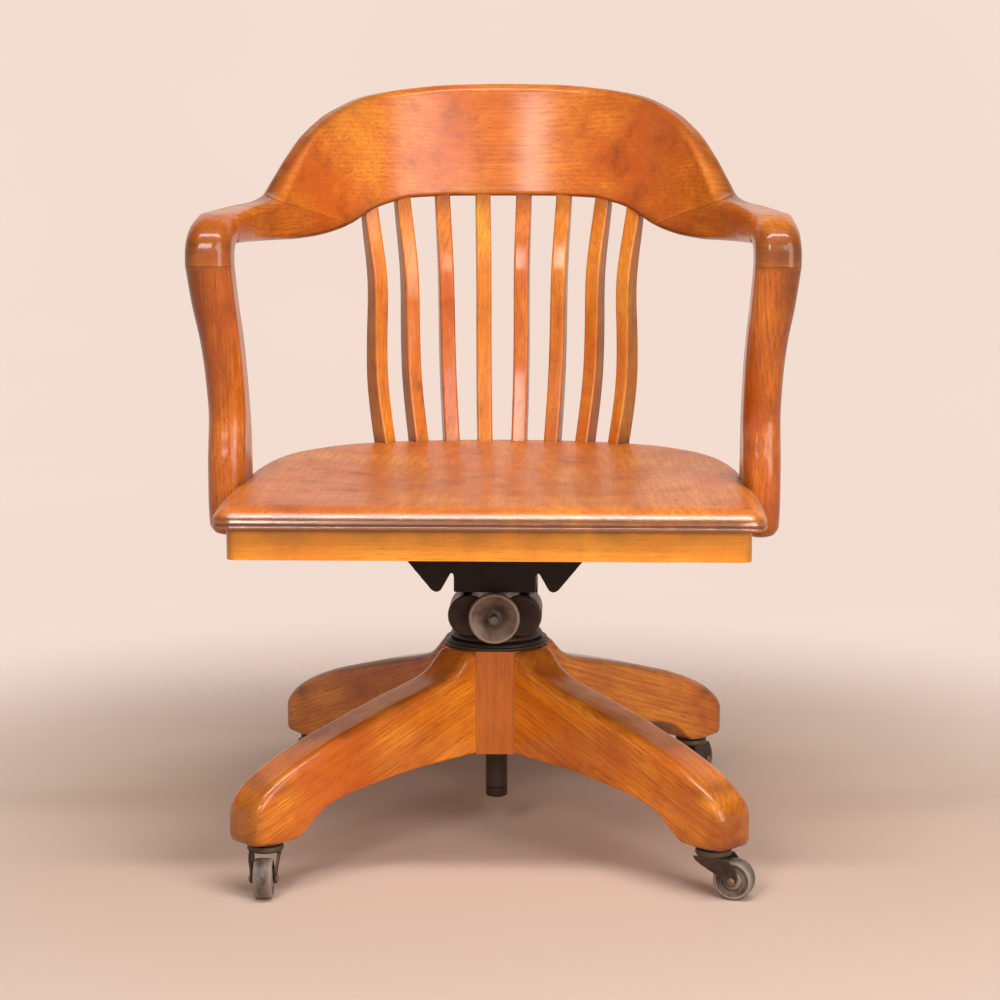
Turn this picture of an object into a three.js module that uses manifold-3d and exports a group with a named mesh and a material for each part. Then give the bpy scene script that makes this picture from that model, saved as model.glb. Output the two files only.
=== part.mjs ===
// A banker's swivel armchair in varnished oak on a four-legged rolling base.
// Millimetres, +Z up. The origin is on the floor under the swivel axis and the chair faces -Y.
import * as THREE from 'three';
import { mergeVertices } from 'three/addons/utils/BufferGeometryUtils.js';
import Module from 'manifold-3d';

const wasm = await Module();
wasm.setup();

// Clearances shared by the whole chair.
const fit = 0.3; // between pieces that touch
const running = 0.4; // between pieces that turn or slide on each other
const overrun = 20; // how far a cutting tool runs past what it cuts
const weld = 0.0001; // vertices closer than this are one

// Base: the hub, its iron lining and four legs on the diagonals.
const casterHeight = 54.2;
const legThickness = 50;
const legReach = 353;
const hubCornerFace = 41;
const hubBottomRise = 46;
const hubHeight = 112.7;
const hubBore = 20.3;
const legPad = casterHeight + fit;
const hubBottom = legPad + hubBottomRise;
const hubTop = hubBottom + hubHeight;
const hubFlat = legThickness / Math.SQRT2 + hubCornerFace / 2; // axis to a corner face
const hubSide = hubFlat * Math.SQRT2 - legThickness / 2; // axis to a leg's glue face

// Casters.
const casterInset = 33; // from a leg's end to the caster's stem
const casterRadius = legReach - casterInset;
const wheelRadius = 20.5;
const wheelWidth = 19;
const wheelPlay = 1.1; // between the wheel and the fork
const trail = 22;
const axleRadius = 2.6;
const axleHeadRadius = 4.2;
const axleHeadLength = 1.8;
const forkPlate = 2.6;
const forkGap = wheelWidth / 2 + wheelPlay;
const crownThickness = 7.4;
const forkSpread = 2.4; // how much further apart the cheeks are at the crown
const stemRadius = 4;
const stemLength = 33;
const socketRadius = 19.5;
const socketThickness = 3;
const socketWall = 1.9;

// Swivel and height screw.
const spindleRadius = 12;
const spindleDrop = 60.4;
const sleeveFlangeRadius = 25;
const sleeveFlangeThickness = 2.6;
const nutBarrelRadius = 15.8;
const nutBarrelLength = 42;
const nutFlangeRadius = 34;
const nutFlangeThickness = 6.6;
const ringRadius = 57.6;
const ringThickness = 6.8;
const ringBead = 1.6;

// Tilt iron: the cup and yoke on the spindle, the pivot shaft and the tension screw.
const cupRadius = 50.5;
const cupHeight = 12.5;
const cupShoulder = 40;
const cupTaper = 4.5;
const nutRoom = 1.2;
const lobeRadius = 23;
const lobeSpread = 28;
const lobeFront = 58;
const yokeBack = 24;
const yokeHalfWidth = 35.5;
const earInset = 12;
const screwRise = 32;
const pivotRise = 47;
const pivotRadius = 6;
const pivotBoss = 14;
const rodRadius = 5;
const rodTip = 84;
const rodTail = 41;
const knobRadius = 27.3;
const knobDepth = 12;
const knobDish = 6.5;
const knobRim = 2.4;
const knobHubRadius = 10;
const knobStandOff = 4.5;
const rodNutRadius = 7;
const rodNutLength = 5;
const wireRadius = 1.8;
const springRadius = 12.4;
const springCurls = 4;
const stepsPerCurl = 8;
const springLength = 27.4;
const plungerRadius = 9;
const plungerFlangeRadius = 16.5;
const plungerFlange = 4;
const plungerNose = 15;
const plungerWall = 2;

// Seat iron: the casting under the seat that carries the chair on the pivot shaft.
const cheekThickness = 6.6;
const cheekGap = 2;
const ironFront = 56;
const ironPlate = 7.4;
const ironArmReach = 150;
const ironArmWidth = 22;
const ironWeb = 7;
const camRadius = 6;
const screwRadius = 3;
const screwHeadRadius = 5.5;
const screwHeadThickness = 2.4;
const screwLength = 16;

// Seat: a saddled slab on a shallow frame.
const seatHalfWidth = 276;
const seatFront = 250;
const seatBack = 206;
const pivotToSeat = 74;
const slabFront = 22;
const slabBack = 42;
const slabUnderInset = 4;
const slabSideRound = 9;
const saddleDepth = 9;
const apronHeight = 30;
const apronThickness = 21;
const apronSetback = 7;
const apronSideInset = 16.5;
const apronCornerRound = 10;

// Arms, crest, posts and slats.
const armOffset = 14; // seat's side to the middle of an arm's front end
const armHalfWidth = seatHalfWidth + armOffset;
const armWidth = 47;
const armFront = 125;
const armEndRound = 26;
const crestThickness = 26;
const crestBack = 232;
const crestTopRise = 453;
const crestBottomRise = 323;
const armThickness = 29;
const armBottomRise = 276;
const armJointRise = 254.5;
const crestLean = 0.17;
const postDepthFoot = 75;
const postFootY = -67.5;
const postTopY = -118;
const postThicknessFoot = 39;
const slatWidth = 17.5;
const slatThickness = 21;
const slatBow = 8.5;
const tenon = 11;

// Levels that follow from the sizes above.
const ringBottom = hubTop + fit;
const ringTop = ringBottom + ringThickness;
const nutTop = ringTop + fit + nutFlangeThickness;
const cupBottom = ringTop + running;
const screwZ = cupBottom + screwRise;
const pivotZ = screwZ + pivotRise;
const seatUnder = pivotZ + pivotToSeat;
const crestTop = seatUnder + crestTopRise;
const crestBottom = seatUnder + crestBottomRise;
const armBottom = seatUnder + armBottomRise;
const armTop = armBottom + armThickness;
const armJoint = seatUnder + armJointRise;
const cheekInner = yokeHalfWidth + cheekGap;
const cheekOuter = cheekInner + cheekThickness;

// Corner steps of a rounded section, as shares of a quarter turn.
const cornerShares = [0, 0.5, 1];

const oak = new THREE.MeshStandardMaterial({ color: 0xb8682c, roughness: 0.35, metalness: 0 });
const seatOak = new THREE.MeshStandardMaterial({ color: 0xa8552a, roughness: 0.3, metalness: 0 });
const castIron = new THREE.MeshStandardMaterial({ color: 0x4a403a, roughness: 0.5, metalness: 0.6 });
const blackIron = new THREE.MeshStandardMaterial({ color: 0x201f1e, roughness: 0.5, metalness: 0.6 });
const casterSteel = new THREE.MeshStandardMaterial({ color: 0x3b3631, roughness: 0.5, metalness: 0.8 });
const wheelRubber = new THREE.MeshStandardMaterial({ color: 0x2f2d2c, roughness: 0.6, metalness: 0 });

// A closed geometry as a solid that can be joined and cut.
function solid(geometry) {
  const bare = new THREE.BufferGeometry();
  bare.setAttribute('position', geometry.getAttribute('position'));
  bare.setIndex(geometry.index);
  const merged = mergeVertices(bare, weld);
  return new wasm.Manifold(new wasm.Mesh({
    numProp: 3,
    vertProperties: merged.attributes.position.array,
    triVerts: new Uint32Array(merged.index.array),
  }));
}

// A solid back as a geometry.
function shape(body) {
  const mesh = body.getMesh();
  const geometry = new THREE.BufferGeometry();
  geometry.setAttribute('position', new THREE.BufferAttribute(new Float32Array(mesh.vertProperties), 3));
  geometry.setIndex(new THREE.BufferAttribute(new Uint32Array(mesh.triVerts), 1));
  geometry.computeVertexNormals();
  return geometry;
}

// Turns a geometry's faces outward if its signed volume says that they point in.
function outward(geometry) {
  const position = geometry.getAttribute('position');
  const index = geometry.index.array;
  const corner = [new THREE.Vector3(), new THREE.Vector3(), new THREE.Vector3()];
  let volume = 0;
  for (let i = 0; i < index.length; i += 3) {
    corner.forEach((point, k) => point.fromBufferAttribute(position, index[i + k]));
    volume += corner[0].dot(corner[1].cross(corner[2]));
  }
  if (volume < 0) {
    for (let i = 0; i < index.length; i += 3) {
      [index[i + 1], index[i + 2]] = [index[i + 2], index[i + 1]];
    }
  }
  geometry.computeVertexNormals();
  return geometry;
}

// A skin over a row of rings with the same number of points, closed at both ends.
function loft(rings) {
  const count = rings[0].length;
  const points = rings.flat();
  const indices = [];
  for (let s = 0; s + 1 < rings.length; s += 1) {
    for (let i = 0; i < count; i += 1) {
      const a = s * count + i;
      const b = s * count + ((i + 1) % count);
      indices.push(a, b, b + count, a, b + count, a + count);
    }
  }
  [0, rings.length - 1].forEach((s) => {
    const middle = new THREE.Vector3();
    rings[s].forEach((point) => middle.add(point));
    points.push(middle.divideScalar(count));
    const centre = points.length - 1;
    for (let i = 0; i < count; i += 1) {
      const a = s * count + i;
      const b = s * count + ((i + 1) % count);
      indices.push(...(s === 0 ? [centre, b, a] : [centre, a, b]));
    }
  });
  const geometry = new THREE.BufferGeometry().setFromPoints(points);
  geometry.setIndex(indices);
  return outward(geometry);
}

// An upright section from bottom to top, with its own round at the bottom and top corners.
function uprightSection(halfWidth, bottom, top, bottomRound, topRound) {
  const most = Math.min(halfWidth, (top - bottom) / 2);
  const low = Math.min(bottomRound, most);
  const high = Math.min(topRound, most);
  const corners = [
    [halfWidth - low, bottom + low, low, -1],
    [halfWidth - high, top - high, high, 0],
    [high - halfWidth, top - high, high, 1],
    [low - halfWidth, bottom + low, low, 2],
  ];
  return corners.flatMap(([u, v, round, quarter]) => cornerShares.map((share) => {
    const angle = (quarter + share) * Math.PI / 2;
    return [u + round * Math.cos(angle), v + round * Math.sin(angle)];
  }));
}

// A closed profile of [radius, height] points turned about Z.
function lathe(profile, sides) {
  const points = [...profile, profile[0]].map(([radius, height]) => new THREE.Vector2(radius, height));
  const geometry = new THREE.LatheGeometry(points, sides);
  geometry.rotateX(Math.PI / 2);
  geometry.deleteAttribute('normal');
  geometry.deleteAttribute('uv');
  return outward(mergeVertices(geometry, weld));
}

// A round bar from low to high along Z, with its flats facing the axes.
function bar(radius, low, high, sides) {
  const geometry = new THREE.CylinderGeometry(radius, radius, high - low, sides);
  geometry.rotateX(Math.PI / 2);
  geometry.translate(0, 0, (low + high) / 2);
  return geometry;
}

// A bar along X or Y through a point.
function barAlong(axis, radius, low, high, sides) {
  const geometry = bar(radius, low, high, sides);
  return axis === 'x' ? geometry.rotateY(Math.PI / 2) : geometry.rotateX(-Math.PI / 2);
}

// A box between two corners.
function block(low, high) {
  const size = high.map((value, i) => value - low[i]);
  const geometry = new THREE.BoxGeometry(...size);
  geometry.translate(...low.map((value, i) => value + size[i] / 2));
  return geometry;
}

// A flat outline extruded upward from low to high.
function slab(outline, low, high) {
  const profile = new THREE.Shape(outline.map(([x, y]) => new THREE.Vector2(x, y)));
  const options = { depth: high - low, bevelEnabled: false, curveSegments: 1 };
  const geometry = new THREE.ExtrudeGeometry(profile, options);
  geometry.translate(0, 0, low);
  return geometry;
}

// An outline of [x, z] points that stands up between two places along Y.
function uprightXZ(outline, low, high) {
  const geometry = slab(outline, -high, -low);
  geometry.rotateX(Math.PI / 2);
  return geometry;
}

// An outline of [y, z] points that stands up between two places along X.
function uprightYZ(outline, low, high) {
  const geometry = slab(outline, low, high);
  geometry.rotateX(Math.PI / 2);
  geometry.rotateZ(Math.PI / 2);
  return geometry;
}

function moved(geometry, x, y, z) {
  geometry.translate(x, y, z);
  return geometry;
}

function mirrored(outline) {
  return outline.map(([x, z]) => [-x, z]).reverse();
}

function join(...geometries) {
  return geometries.map(solid).reduce((whole, next) => whole.add(next));
}

function cutFrom(body, ...geometries) {
  return geometries.map(solid).reduce((whole, next) => whole.subtract(next), body);
}

function mix(from, to, share) {
  return from + (to - from) * share;
}

// Reads a table of [place, value] shares at one place, in straight lines between its rows.
function readShares(table, place) {
  const next = table.findIndex(([at]) => at >= place);
  if (next < 0) return table[table.length - 1][1];
  if (next === 0) return table[0][1];
  const [at, value] = table[next - 1];
  const [upTo, then] = table[next];
  return mix(value, then, (place - at) / (upTo - at));
}

const chair = new THREE.Group();

function add(name, geometry, material, parent = chair) {
  const mesh = new THREE.Mesh(geometry, material);
  mesh.name = name;
  parent.add(mesh);
  return mesh;
}

const quarterTurns = [
  ['front_left', 225],
  ['front_right', 315],
  ['rear_right', 45],
  ['rear_left', 135],
];

// Hub: an eight-sided oak block with the legs glued to four faces.
function hubOutline() {
  const near = hubCornerFace / 2;
  const corners = [[hubFlat, -near], [hubFlat, near]];
  return [0, 1, 2, 3].flatMap((quarter) => corners.map(([x, y]) => {
    const point = new THREE.Vector2(x, y).rotateAround(new THREE.Vector2(), quarter * Math.PI / 2);
    return [point.x, point.y];
  }));
}

const boreSides = 16;
const hubBody = cutFrom(
  solid(slab(hubOutline(), hubBottom, hubTop)),
  bar(hubBore, hubBottom - overrun, hubTop + overrun, boreSides),
);
add('hub_column', shape(hubBody), oak);

// Leg side view: shares of the reach from the glue face to the tip, with the top and bottom edges
// as shares of the height from the pad to the hub's top, and the half width as a share.
const legShares = [
  [0, 1, 0.293, 1],
  [0.026, 0.995, 0.293, 1],
  [0.053, 0.952, 0.292, 1],
  [0.086, 0.892, 0.29, 1],
  [0.137, 0.842, 0.288, 1],
  [0.22, 0.799, 0.284, 1],
  [0.321, 0.754, 0.274, 1],
  [0.455, 0.69, 0.25, 1],
  [0.588, 0.62, 0.215, 1],
  [0.679, 0.57, 0.172, 1],
  [0.74, 0.53, 0.105, 1],
  [0.779, 0.503, 0.045, 1],
  [0.818, 0.472, 0.004, 1],
  [0.874, 0.42, 0, 1],
  [0.931, 0.352, 0, 1],
  [0.967, 0.295, 0, 1],
  [0.98, 0.262, 0, 0.96],
  [0.99, 0.228, 0.006, 0.88],
  [0.997, 0.188, 0.018, 0.76],
  [1, 0.15, 0.034, 0.6],
];
const legTopRound = 10;
const legBottomRound = 3;
const legStart = hubSide + fit;

function legGeometry() {
  const rings = legShares.map(([along, top, bottom, width]) => {
    const reach = mix(legStart, legReach, along);
    const section = uprightSection(
      width * legThickness / 2,
      mix(legPad, hubTop, bottom),
      mix(legPad, hubTop, top),
      legBottomRound,
      legTopRound,
    );
    return section.map(([side, height]) => new THREE.Vector3(reach, side, height));
  });
  const socket = bar(
    stemRadius + running + socketWall + fit,
    legPad - overrun,
    casterHeight + stemLength + running,
    boreSides,
  );
  return shape(cutFrom(solid(loft(rings)), moved(socket, casterRadius, 0, 0)));
}

quarterTurns.forEach(([corner, degrees]) => {
  const leg = add('leg_' + corner, legGeometry(), oak);
  leg.rotation.z = THREE.MathUtils.degToRad(degrees);
});

// Iron lining of the hub with a flange under it, and the bearing ring on top.
const sleeveBore = nutBarrelRadius + running;
const sleeveBottom = hubBottom - fit - sleeveFlangeThickness;
add('hub_sleeve', lathe([
  [sleeveBore, sleeveBottom],
  [sleeveFlangeRadius, sleeveBottom],
  [sleeveFlangeRadius, hubBottom - fit],
  [hubBore - fit, hubBottom - fit],
  [hubBore - fit, hubTop],
  [sleeveBore, hubTop],
], boreSides), blackIron);

const roundSides = 24;
add('hub_ring', lathe([
  [sleeveBore, ringBottom],
  [ringRadius - ringBead, ringBottom],
  [ringRadius, ringBottom + ringBead],
  [ringRadius, ringBottom + ringThickness / 2],
  [ringRadius - ringBead, ringBottom + ringThickness / 2],
  [ringRadius - ringBead, ringTop - ringBead / 2],
  [ringRadius - 2 * ringBead, ringTop],
  [sleeveBore, ringTop],
], roundSides), blackIron);

// Swivel nut: its barrel hangs in the lining and its flange turns on the ring.
const nutBore = spindleRadius + running;
add('swivel_nut', lathe([
  [nutBore, ringTop - nutBarrelLength],
  [nutBarrelRadius, ringTop - nutBarrelLength],
  [nutBarrelRadius, ringTop + fit],
  [nutFlangeRadius, ringTop + fit],
  [nutFlangeRadius, nutTop - ringBead],
  [nutFlangeRadius - ringBead, nutTop],
  [nutBore, nutTop],
], boreSides), casterSteel);

// Height spindle, from below the hub up into the yoke's socket.
const spindleBottom = hubBottom - spindleDrop;
const spindleTop = screwZ - rodRadius - running - 3 * fit;
const spindleChamfer = 1.5;
const spindleGroove = 10.5;
add('spindle', lathe([
  [0, spindleBottom],
  [spindleRadius - spindleChamfer, spindleBottom],
  [spindleRadius, spindleBottom + spindleChamfer],
  [spindleRadius, spindleBottom + spindleGroove],
  [spindleRadius - spindleChamfer / 2, spindleBottom + spindleGroove + spindleChamfer / 2],
  [spindleRadius, spindleBottom + spindleGroove + spindleChamfer],
  [spindleRadius, spindleTop],
  [0, spindleTop],
], boreSides), blackIron);

// Yoke: the cup that covers the nut, two round lobes in front, and two ears for the pivot shaft.
const cupTop = cupBottom + cupHeight;
const cupRoof = nutTop + nutRoom;
const screwBore = rodRadius + running;

function yokeGeometry() {
  const cup = lathe([
    [0, cupBottom],
    [cupRadius, cupBottom],
    [cupRadius, cupBottom + cupHeight / 3],
    [cupRadius - cupTaper, cupTop - cupHeight / 4],
    [cupShoulder, cupTop],
    [0, cupTop],
  ], roundSides);
  const lobes = [-lobeSpread, lobeSpread].map((x) => moved(
    barAlong('y', lobeRadius, -lobeFront, 0, roundSides),
    x,
    0,
    screwZ,
  ));
  const middle = block(
    [-lobeSpread, -lobeFront, cupTop - ringBead],
    [lobeSpread, yokeBack, screwZ + lobeRadius / 2],
  );
  const earOutline = [
    [-yokeBack, cupTop - ringBead],
    [yokeBack, cupTop - ringBead],
    [pivotBoss, pivotZ],
    [pivotBoss * Math.SQRT1_2, pivotZ + pivotBoss * Math.SQRT1_2],
    [0, pivotZ + pivotBoss],
    [-pivotBoss * Math.SQRT1_2, pivotZ + pivotBoss * Math.SQRT1_2],
    [-pivotBoss, pivotZ],
  ];
  const ears = [-1, 1].map((side) => {
    const inner = yokeHalfWidth - earInset;
    return uprightYZ(earOutline, ...(side < 0 ? [-yokeHalfWidth, -inner] : [inner, yokeHalfWidth]));
  });
  const bodyWithEars = join(cup, ...lobes, middle, ...ears);
  const nutHollow = bar(nutFlangeRadius + nutRoom, cupBottom - overrun, cupRoof, roundSides);
  const socket = bar(spindleRadius + fit, cupBottom, spindleTop + fit, boreSides);
  const screwHole = moved(
    barAlong('y', screwBore, -lobeFront - overrun, yokeBack + overrun, boreSides),
    0,
    0,
    screwZ,
  );
  const pivotHole = moved(
    barAlong('x', pivotRadius + running, -yokeHalfWidth - overrun, yokeHalfWidth + overrun, boreSides),
    0,
    0,
    pivotZ,
  );
  return shape(cutFrom(bodyWithEars, nutHollow, socket, screwHole, pivotHole));
}

add('yoke', yokeGeometry(), castIron);

// Pivot shaft through the ears and the seat iron's cheeks, with a head and a nut.
const pivotHeadRadius = 10;
const pivotHead = 6;
const nutSides = 6;
const pivotHeadBar = moved(
  barAlong('x', pivotHeadRadius, -cheekOuter - fit - pivotHead, -cheekOuter - fit, boreSides),
  0,
  0,
  pivotZ,
);
const pivotBar = moved(
  barAlong('x', pivotRadius, -cheekOuter - fit - pivotHead / 2, cheekOuter + pivotHead + 2 * fit, boreSides),
  0,
  0,
  pivotZ,
);
add('pivot_shaft', shape(join(pivotHeadBar, pivotBar)), casterSteel);
const pivotNutBody = cutFrom(
  solid(barAlong('x', pivotHeadRadius, cheekOuter + fit, cheekOuter + fit + pivotHead, nutSides)),
  barAlong('x', pivotRadius + fit, cheekOuter - overrun, cheekOuter + overrun, boreSides),
);
add('pivot_nut', moved(shape(pivotNutBody), 0, 0, pivotZ), casterSteel);

// Tension screw with its dished hand knob in front and a spring pushing back on the plunger.
add('tension_rod', moved(barAlong('y', rodRadius, -rodTip, rodTail, boreSides), 0, 0, screwZ), casterSteel);

const knobBack = -lobeFront - fit;
const knobFront = knobBack - knobStandOff - knobDepth;

// A profile of [radius, place along Y] points turned about the tension screw's axis.
function aboutScrew(profile, sides) {
  const geometry = lathe(profile, sides);
  geometry.rotateX(-Math.PI / 2);
  return moved(outward(geometry), 0, 0, screwZ);
}

const knobWeb = knobFront + knobDish;
add('tension_knob', aboutScrew([
  [rodRadius + fit, knobBack],
  [knobHubRadius, knobBack],
  [knobHubRadius, knobBack - knobStandOff],
  [knobRadius - knobRim, knobBack - knobStandOff - knobRim / 2],
  [knobRadius, knobBack - knobStandOff - knobRim],
  [knobRadius, knobFront + knobRim / 2],
  [knobRadius - knobRim / 2, knobFront],
  [knobRadius - knobRim, knobFront + knobRim / 2],
  [mix(knobRadius, knobHubRadius, 1 / 2), mix(knobFront, knobWeb, 2 / 3)],
  [knobHubRadius, knobWeb],
  [rodRadius + fit, knobWeb],
], roundSides), castIron);

const rodNutBody = cutFrom(
  solid(barAlong('y', rodNutRadius, knobWeb - fit - rodNutLength, knobWeb - fit, nutSides)),
  barAlong('y', rodRadius + fit, knobWeb - overrun, knobWeb + overrun, boreSides),
);
add('rod_nut', moved(shape(rodNutBody), 0, 0, screwZ), casterSteel);

// Spring: one unbroken wire whose ends run straight for one wire diameter, square to what they meet.
function springGeometry() {
  const start = yokeBack + fit;
  const straight = 2 * wireRadius;
  const steps = springCurls * stepsPerCurl;
  const path = [new THREE.Vector3(springRadius, start, 0)];
  for (let i = 0; i <= steps; i += 1) {
    const angle = i / stepsPerCurl * 2 * Math.PI;
    const along = mix(start + straight, start + springLength - straight, i / steps);
    path.push(new THREE.Vector3(springRadius * Math.cos(angle), along, springRadius * Math.sin(angle)));
  }
  const last = path[path.length - 1].clone();
  last.y = start + springLength;
  path.push(last);
  const wireSides = 5;
  const rings = path.map((point, i) => {
    const before = path[Math.max(i - 1, 0)];
    const after = path[Math.min(i + 1, path.length - 1)];
    const forward = after.clone().sub(before).normalize();
    const outwards = new THREE.Vector3(point.x, 0, point.z).normalize();
    const across = new THREE.Vector3().crossVectors(forward, outwards).normalize();
    const level = new THREE.Vector3().crossVectors(across, forward).normalize();
    return Array.from({ length: wireSides }, (_, k) => {
      const angle = k / wireSides * 2 * Math.PI;
      return point.clone()
        .addScaledVector(level, wireRadius * Math.cos(angle))
        .addScaledVector(across, wireRadius * Math.sin(angle));
    });
  });
  const gaps = path.flatMap((point, i) => path.slice(i + stepsPerCurl - 1).map(
    (other) => point.distanceTo(other),
  ));
  console.log('least gap of the spring to itself', (Math.min(...gaps) - 2 * wireRadius).toFixed(2), 'mm');
  return moved(loft(rings), 0, 0, screwZ);
}

add('tension_spring', springGeometry(), casterSteel);

const plungerFront = yokeBack + 2 * fit + springLength;
const plungerBack = plungerFront + plungerFlange;
add('spring_plunger', aboutScrew([
  [0, plungerBack - plungerWall],
  [rodRadius + running, plungerBack - plungerWall],
  [rodRadius + running, plungerFront - plungerNose],
  [plungerRadius, plungerFront - plungerNose],
  [plungerRadius, plungerFront],
  [plungerFlangeRadius, plungerFront],
  [plungerFlangeRadius, plungerBack],
  [0, plungerBack],
], boreSides), casterSteel);

// Seat iron: top plate, two cheeks on the pivot shaft, a cam bar behind and two arms across.
const ironTop = seatUnder - fit;
const ironUnder = ironTop - ironPlate;
const camY = plungerBack + fit + camRadius;
const camBack = camY + camRadius;

function seatIronGeometry() {
  const plate = block([-cheekOuter, -ironFront, ironUnder], [cheekOuter, camBack, ironTop]);
  const cheekFoot = screwZ + lobeRadius + cheekGap;
  const cheekOutline = [
    [-ironFront, cheekFoot],
    [-pivotBoss, cheekFoot],
    [pivotBoss, pivotZ - pivotBoss],
    [camY - camRadius, screwZ + camRadius],
    [camY - camRadius, screwZ - camRadius],
    [camBack, screwZ - camRadius],
    [camBack, ironTop - ironPlate / 2],
    [-ironFront, ironTop - ironPlate / 2],
  ];
  const cheeks = [[-cheekOuter, -cheekInner], [cheekInner, cheekOuter]].map(
    ([low, high]) => uprightYZ(cheekOutline, low, high),
  );
  const camBar = barAlong('x', camRadius, -cheekOuter + fit, cheekOuter - fit, boreSides);
  const cam = moved(camBar, 0, camY, screwZ);
  const frontWall = block(
    [-cheekOuter, -ironFront, cheekFoot],
    [cheekOuter, -ironFront + ironWeb, ironTop],
  );
  // The front arms have a deep tapered web, which shows below the seat frame.
  const lugTip = mix(cheekOuter, ironArmReach, 0.15);
  const lugOutline = [
    [cheekOuter - fit, ironTop - ironPlate / 2],
    [cheekOuter - fit, pivotZ + fit],
    [mix(cheekOuter, lugTip, 0.2), pivotZ],
    [mix(cheekOuter, lugTip, 0.85), cheekFoot + 2 * fit],
    [mix(cheekOuter, lugTip, 1.25), cheekFoot + 2 * fit],
    [mix(cheekOuter, ironArmReach, 0.48), mix(cheekFoot, ironTop, 0.4)],
    [ironArmReach, ironUnder - fit],
    [ironArmReach, ironTop - ironPlate / 2],
  ];
  const lugs = [lugOutline, mirrored(lugOutline)].map(
    (outline) => uprightXZ(outline, -ironFront, -ironFront + ironWeb),
  );
  const frontArm = block(
    [-ironArmReach, -ironFront, ironUnder],
    [ironArmReach, -ironFront + ironArmWidth, ironTop],
  );
  const rearArm = block(
    [-ironArmReach, camBack - ironArmWidth, ironUnder],
    [ironArmReach, camBack, ironTop],
  );
  const pivotHole = moved(
    barAlong('x', pivotRadius + fit, -cheekOuter - overrun, cheekOuter + overrun, boreSides),
    0,
    0,
    pivotZ,
  );
  const whole = join(plate, ...cheeks, cam, frontWall, ...lugs, frontArm, rearArm);
  const holes = ironScrewPlaces().map(([x, y]) => moved(
    bar(screwRadius + fit, ironUnder - overrun, ironTop + overrun, screwSides),
    x,
    y,
    0,
  ));
  return shape(cutFrom(whole, pivotHole, ...holes));
}

const screwSides = 8;

// Four wood screws hold the arms' ends to the slab.
function ironScrewPlaces() {
  const x = ironArmReach - ironArmWidth / 2;
  const rearY = camBack - ironArmWidth / 2;
  const frontY = -ironFront + ironWeb + (ironArmWidth - ironWeb) / 2;
  return [[-x, frontY], [x, frontY], [x, rearY], [-x, rearY]];
}

add('seat_iron', seatIronGeometry(), castIron);

const screwBoreTop = ironTop + screwLength + fit;
ironScrewPlaces().forEach(([x, y], i) => {
  const head = bar(screwHeadRadius, ironUnder - fit - screwHeadThickness, ironUnder - fit, screwSides);
  const shank = bar(screwRadius, ironUnder - screwHeadThickness, ironTop + screwLength, screwSides);
  const place = add('iron_screw_' + quarterTurns[i][0], shape(join(head, shank)), casterSteel);
  place.position.set(x, y, 0);
});

// Seat plan: half width and place from front to back, as shares of the half width and the depth.
const seatPlanShares = [
  [0, 0],
  [0.4, 0],
  [0.8, 0],
  [0.949, 0.001],
  [0.98, 0.014],
  [0.993, 0.04],
  [0.998, 0.11],
  [1, 0.22],
  [0.991, 0.333],
  [0.978, 0.482],
  [0.966, 0.57],
  [0.942, 0.658],
  [0.906, 0.735],
  [0.855, 0.796],
  [0.786, 0.849],
  [0.688, 0.903],
  [0.572, 0.941],
  [0.4, 0.974],
  [0.2065, 0.993],
  [0, 1],
];
const seatDepth = seatFront + seatBack;

function seatPlan(inset) {
  const half = seatPlanShares.map(([across, back]) => [
    across * (seatHalfWidth - inset),
    mix(inset - seatFront, seatBack - inset, back),
  ]);
  const left = half.slice(1, -1).map(([x, y]) => [-x, y]).reverse();
  return [...half, ...left];
}

// The saddle's two hollows: their middle across and back, how far they spread, and the rim left high.
const hollowAcrossShare = 0.36;
const hollowBackShare = 0.52;
const hollowSpreadShare = 0.3;
const rimShare = 0.25;

// Slab top at a place: a plane that rises to the back, with a saddle sunk inside the rim.
function slabTop(x, y, fromRim) {
  const back = (y + seatFront) / seatDepth;
  const rise = mix(slabFront, slabBack, Math.min(Math.max(back, 0), 1));
  const side = Math.abs(x) / seatHalfWidth;
  const across = (side - hollowAcrossShare) / hollowSpreadShare;
  const along = (back - hollowBackShare) / hollowSpreadShare;
  const hollows = Math.exp(-(across ** 2) - along ** 2);
  return seatUnder + rise - saddleDepth * hollows * Math.min(fromRim / rimShare, 1);
}

const saddleRingShares = [0.1, 0.25, 0.45, 0.7];

function seatSlabGeometry() {
  const rim = seatPlan(0);
  const middle = [0, mix(-seatFront, seatBack, 0.5)];
  const shoulder = slabSideRound * (1 - Math.SQRT1_2);
  const levels = [
    [slabUnderInset, () => seatUnder],
    [0, () => seatUnder + slabUnderInset],
    [0, (x, y) => slabTop(x, y, 0) - slabSideRound],
    [shoulder, (x, y) => slabTop(x, y, 0) - shoulder],
    [slabSideRound, (x, y) => slabTop(x, y, 0)],
  ];
  const rings = levels.map(([inset, height]) => seatPlan(inset).map(
    ([x, y]) => new THREE.Vector3(x, y, height(x, y)),
  ));
  saddleRingShares.forEach((inward) => {
    rings.push(rim.map(([rimX, rimY]) => {
      const x = mix(rimX, middle[0], inward);
      const y = mix(rimY, middle[1], inward);
      return new THREE.Vector3(x, y, slabTop(x, y, inward));
    }));
  });
  return loft(rings);
}

// The slab is notched round the two arm posts, mortised for the slats and bored for the screws.
function seatSlabBody() {
  const notches = [-1, 1].map((side) => postGeometry(side, fit));
  const mortises = slats.map((slat) => slatGeometry(slat, fit));
  const bores = ironScrewPlaces().map(([x, y]) => moved(
    bar(screwRadius + fit, seatUnder - overrun, screwBoreTop, screwSides),
    x,
    y,
    0,
  ));
  return shape(cutFrom(solid(seatSlabGeometry()), ...notches, ...mortises, ...bores));
}

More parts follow.
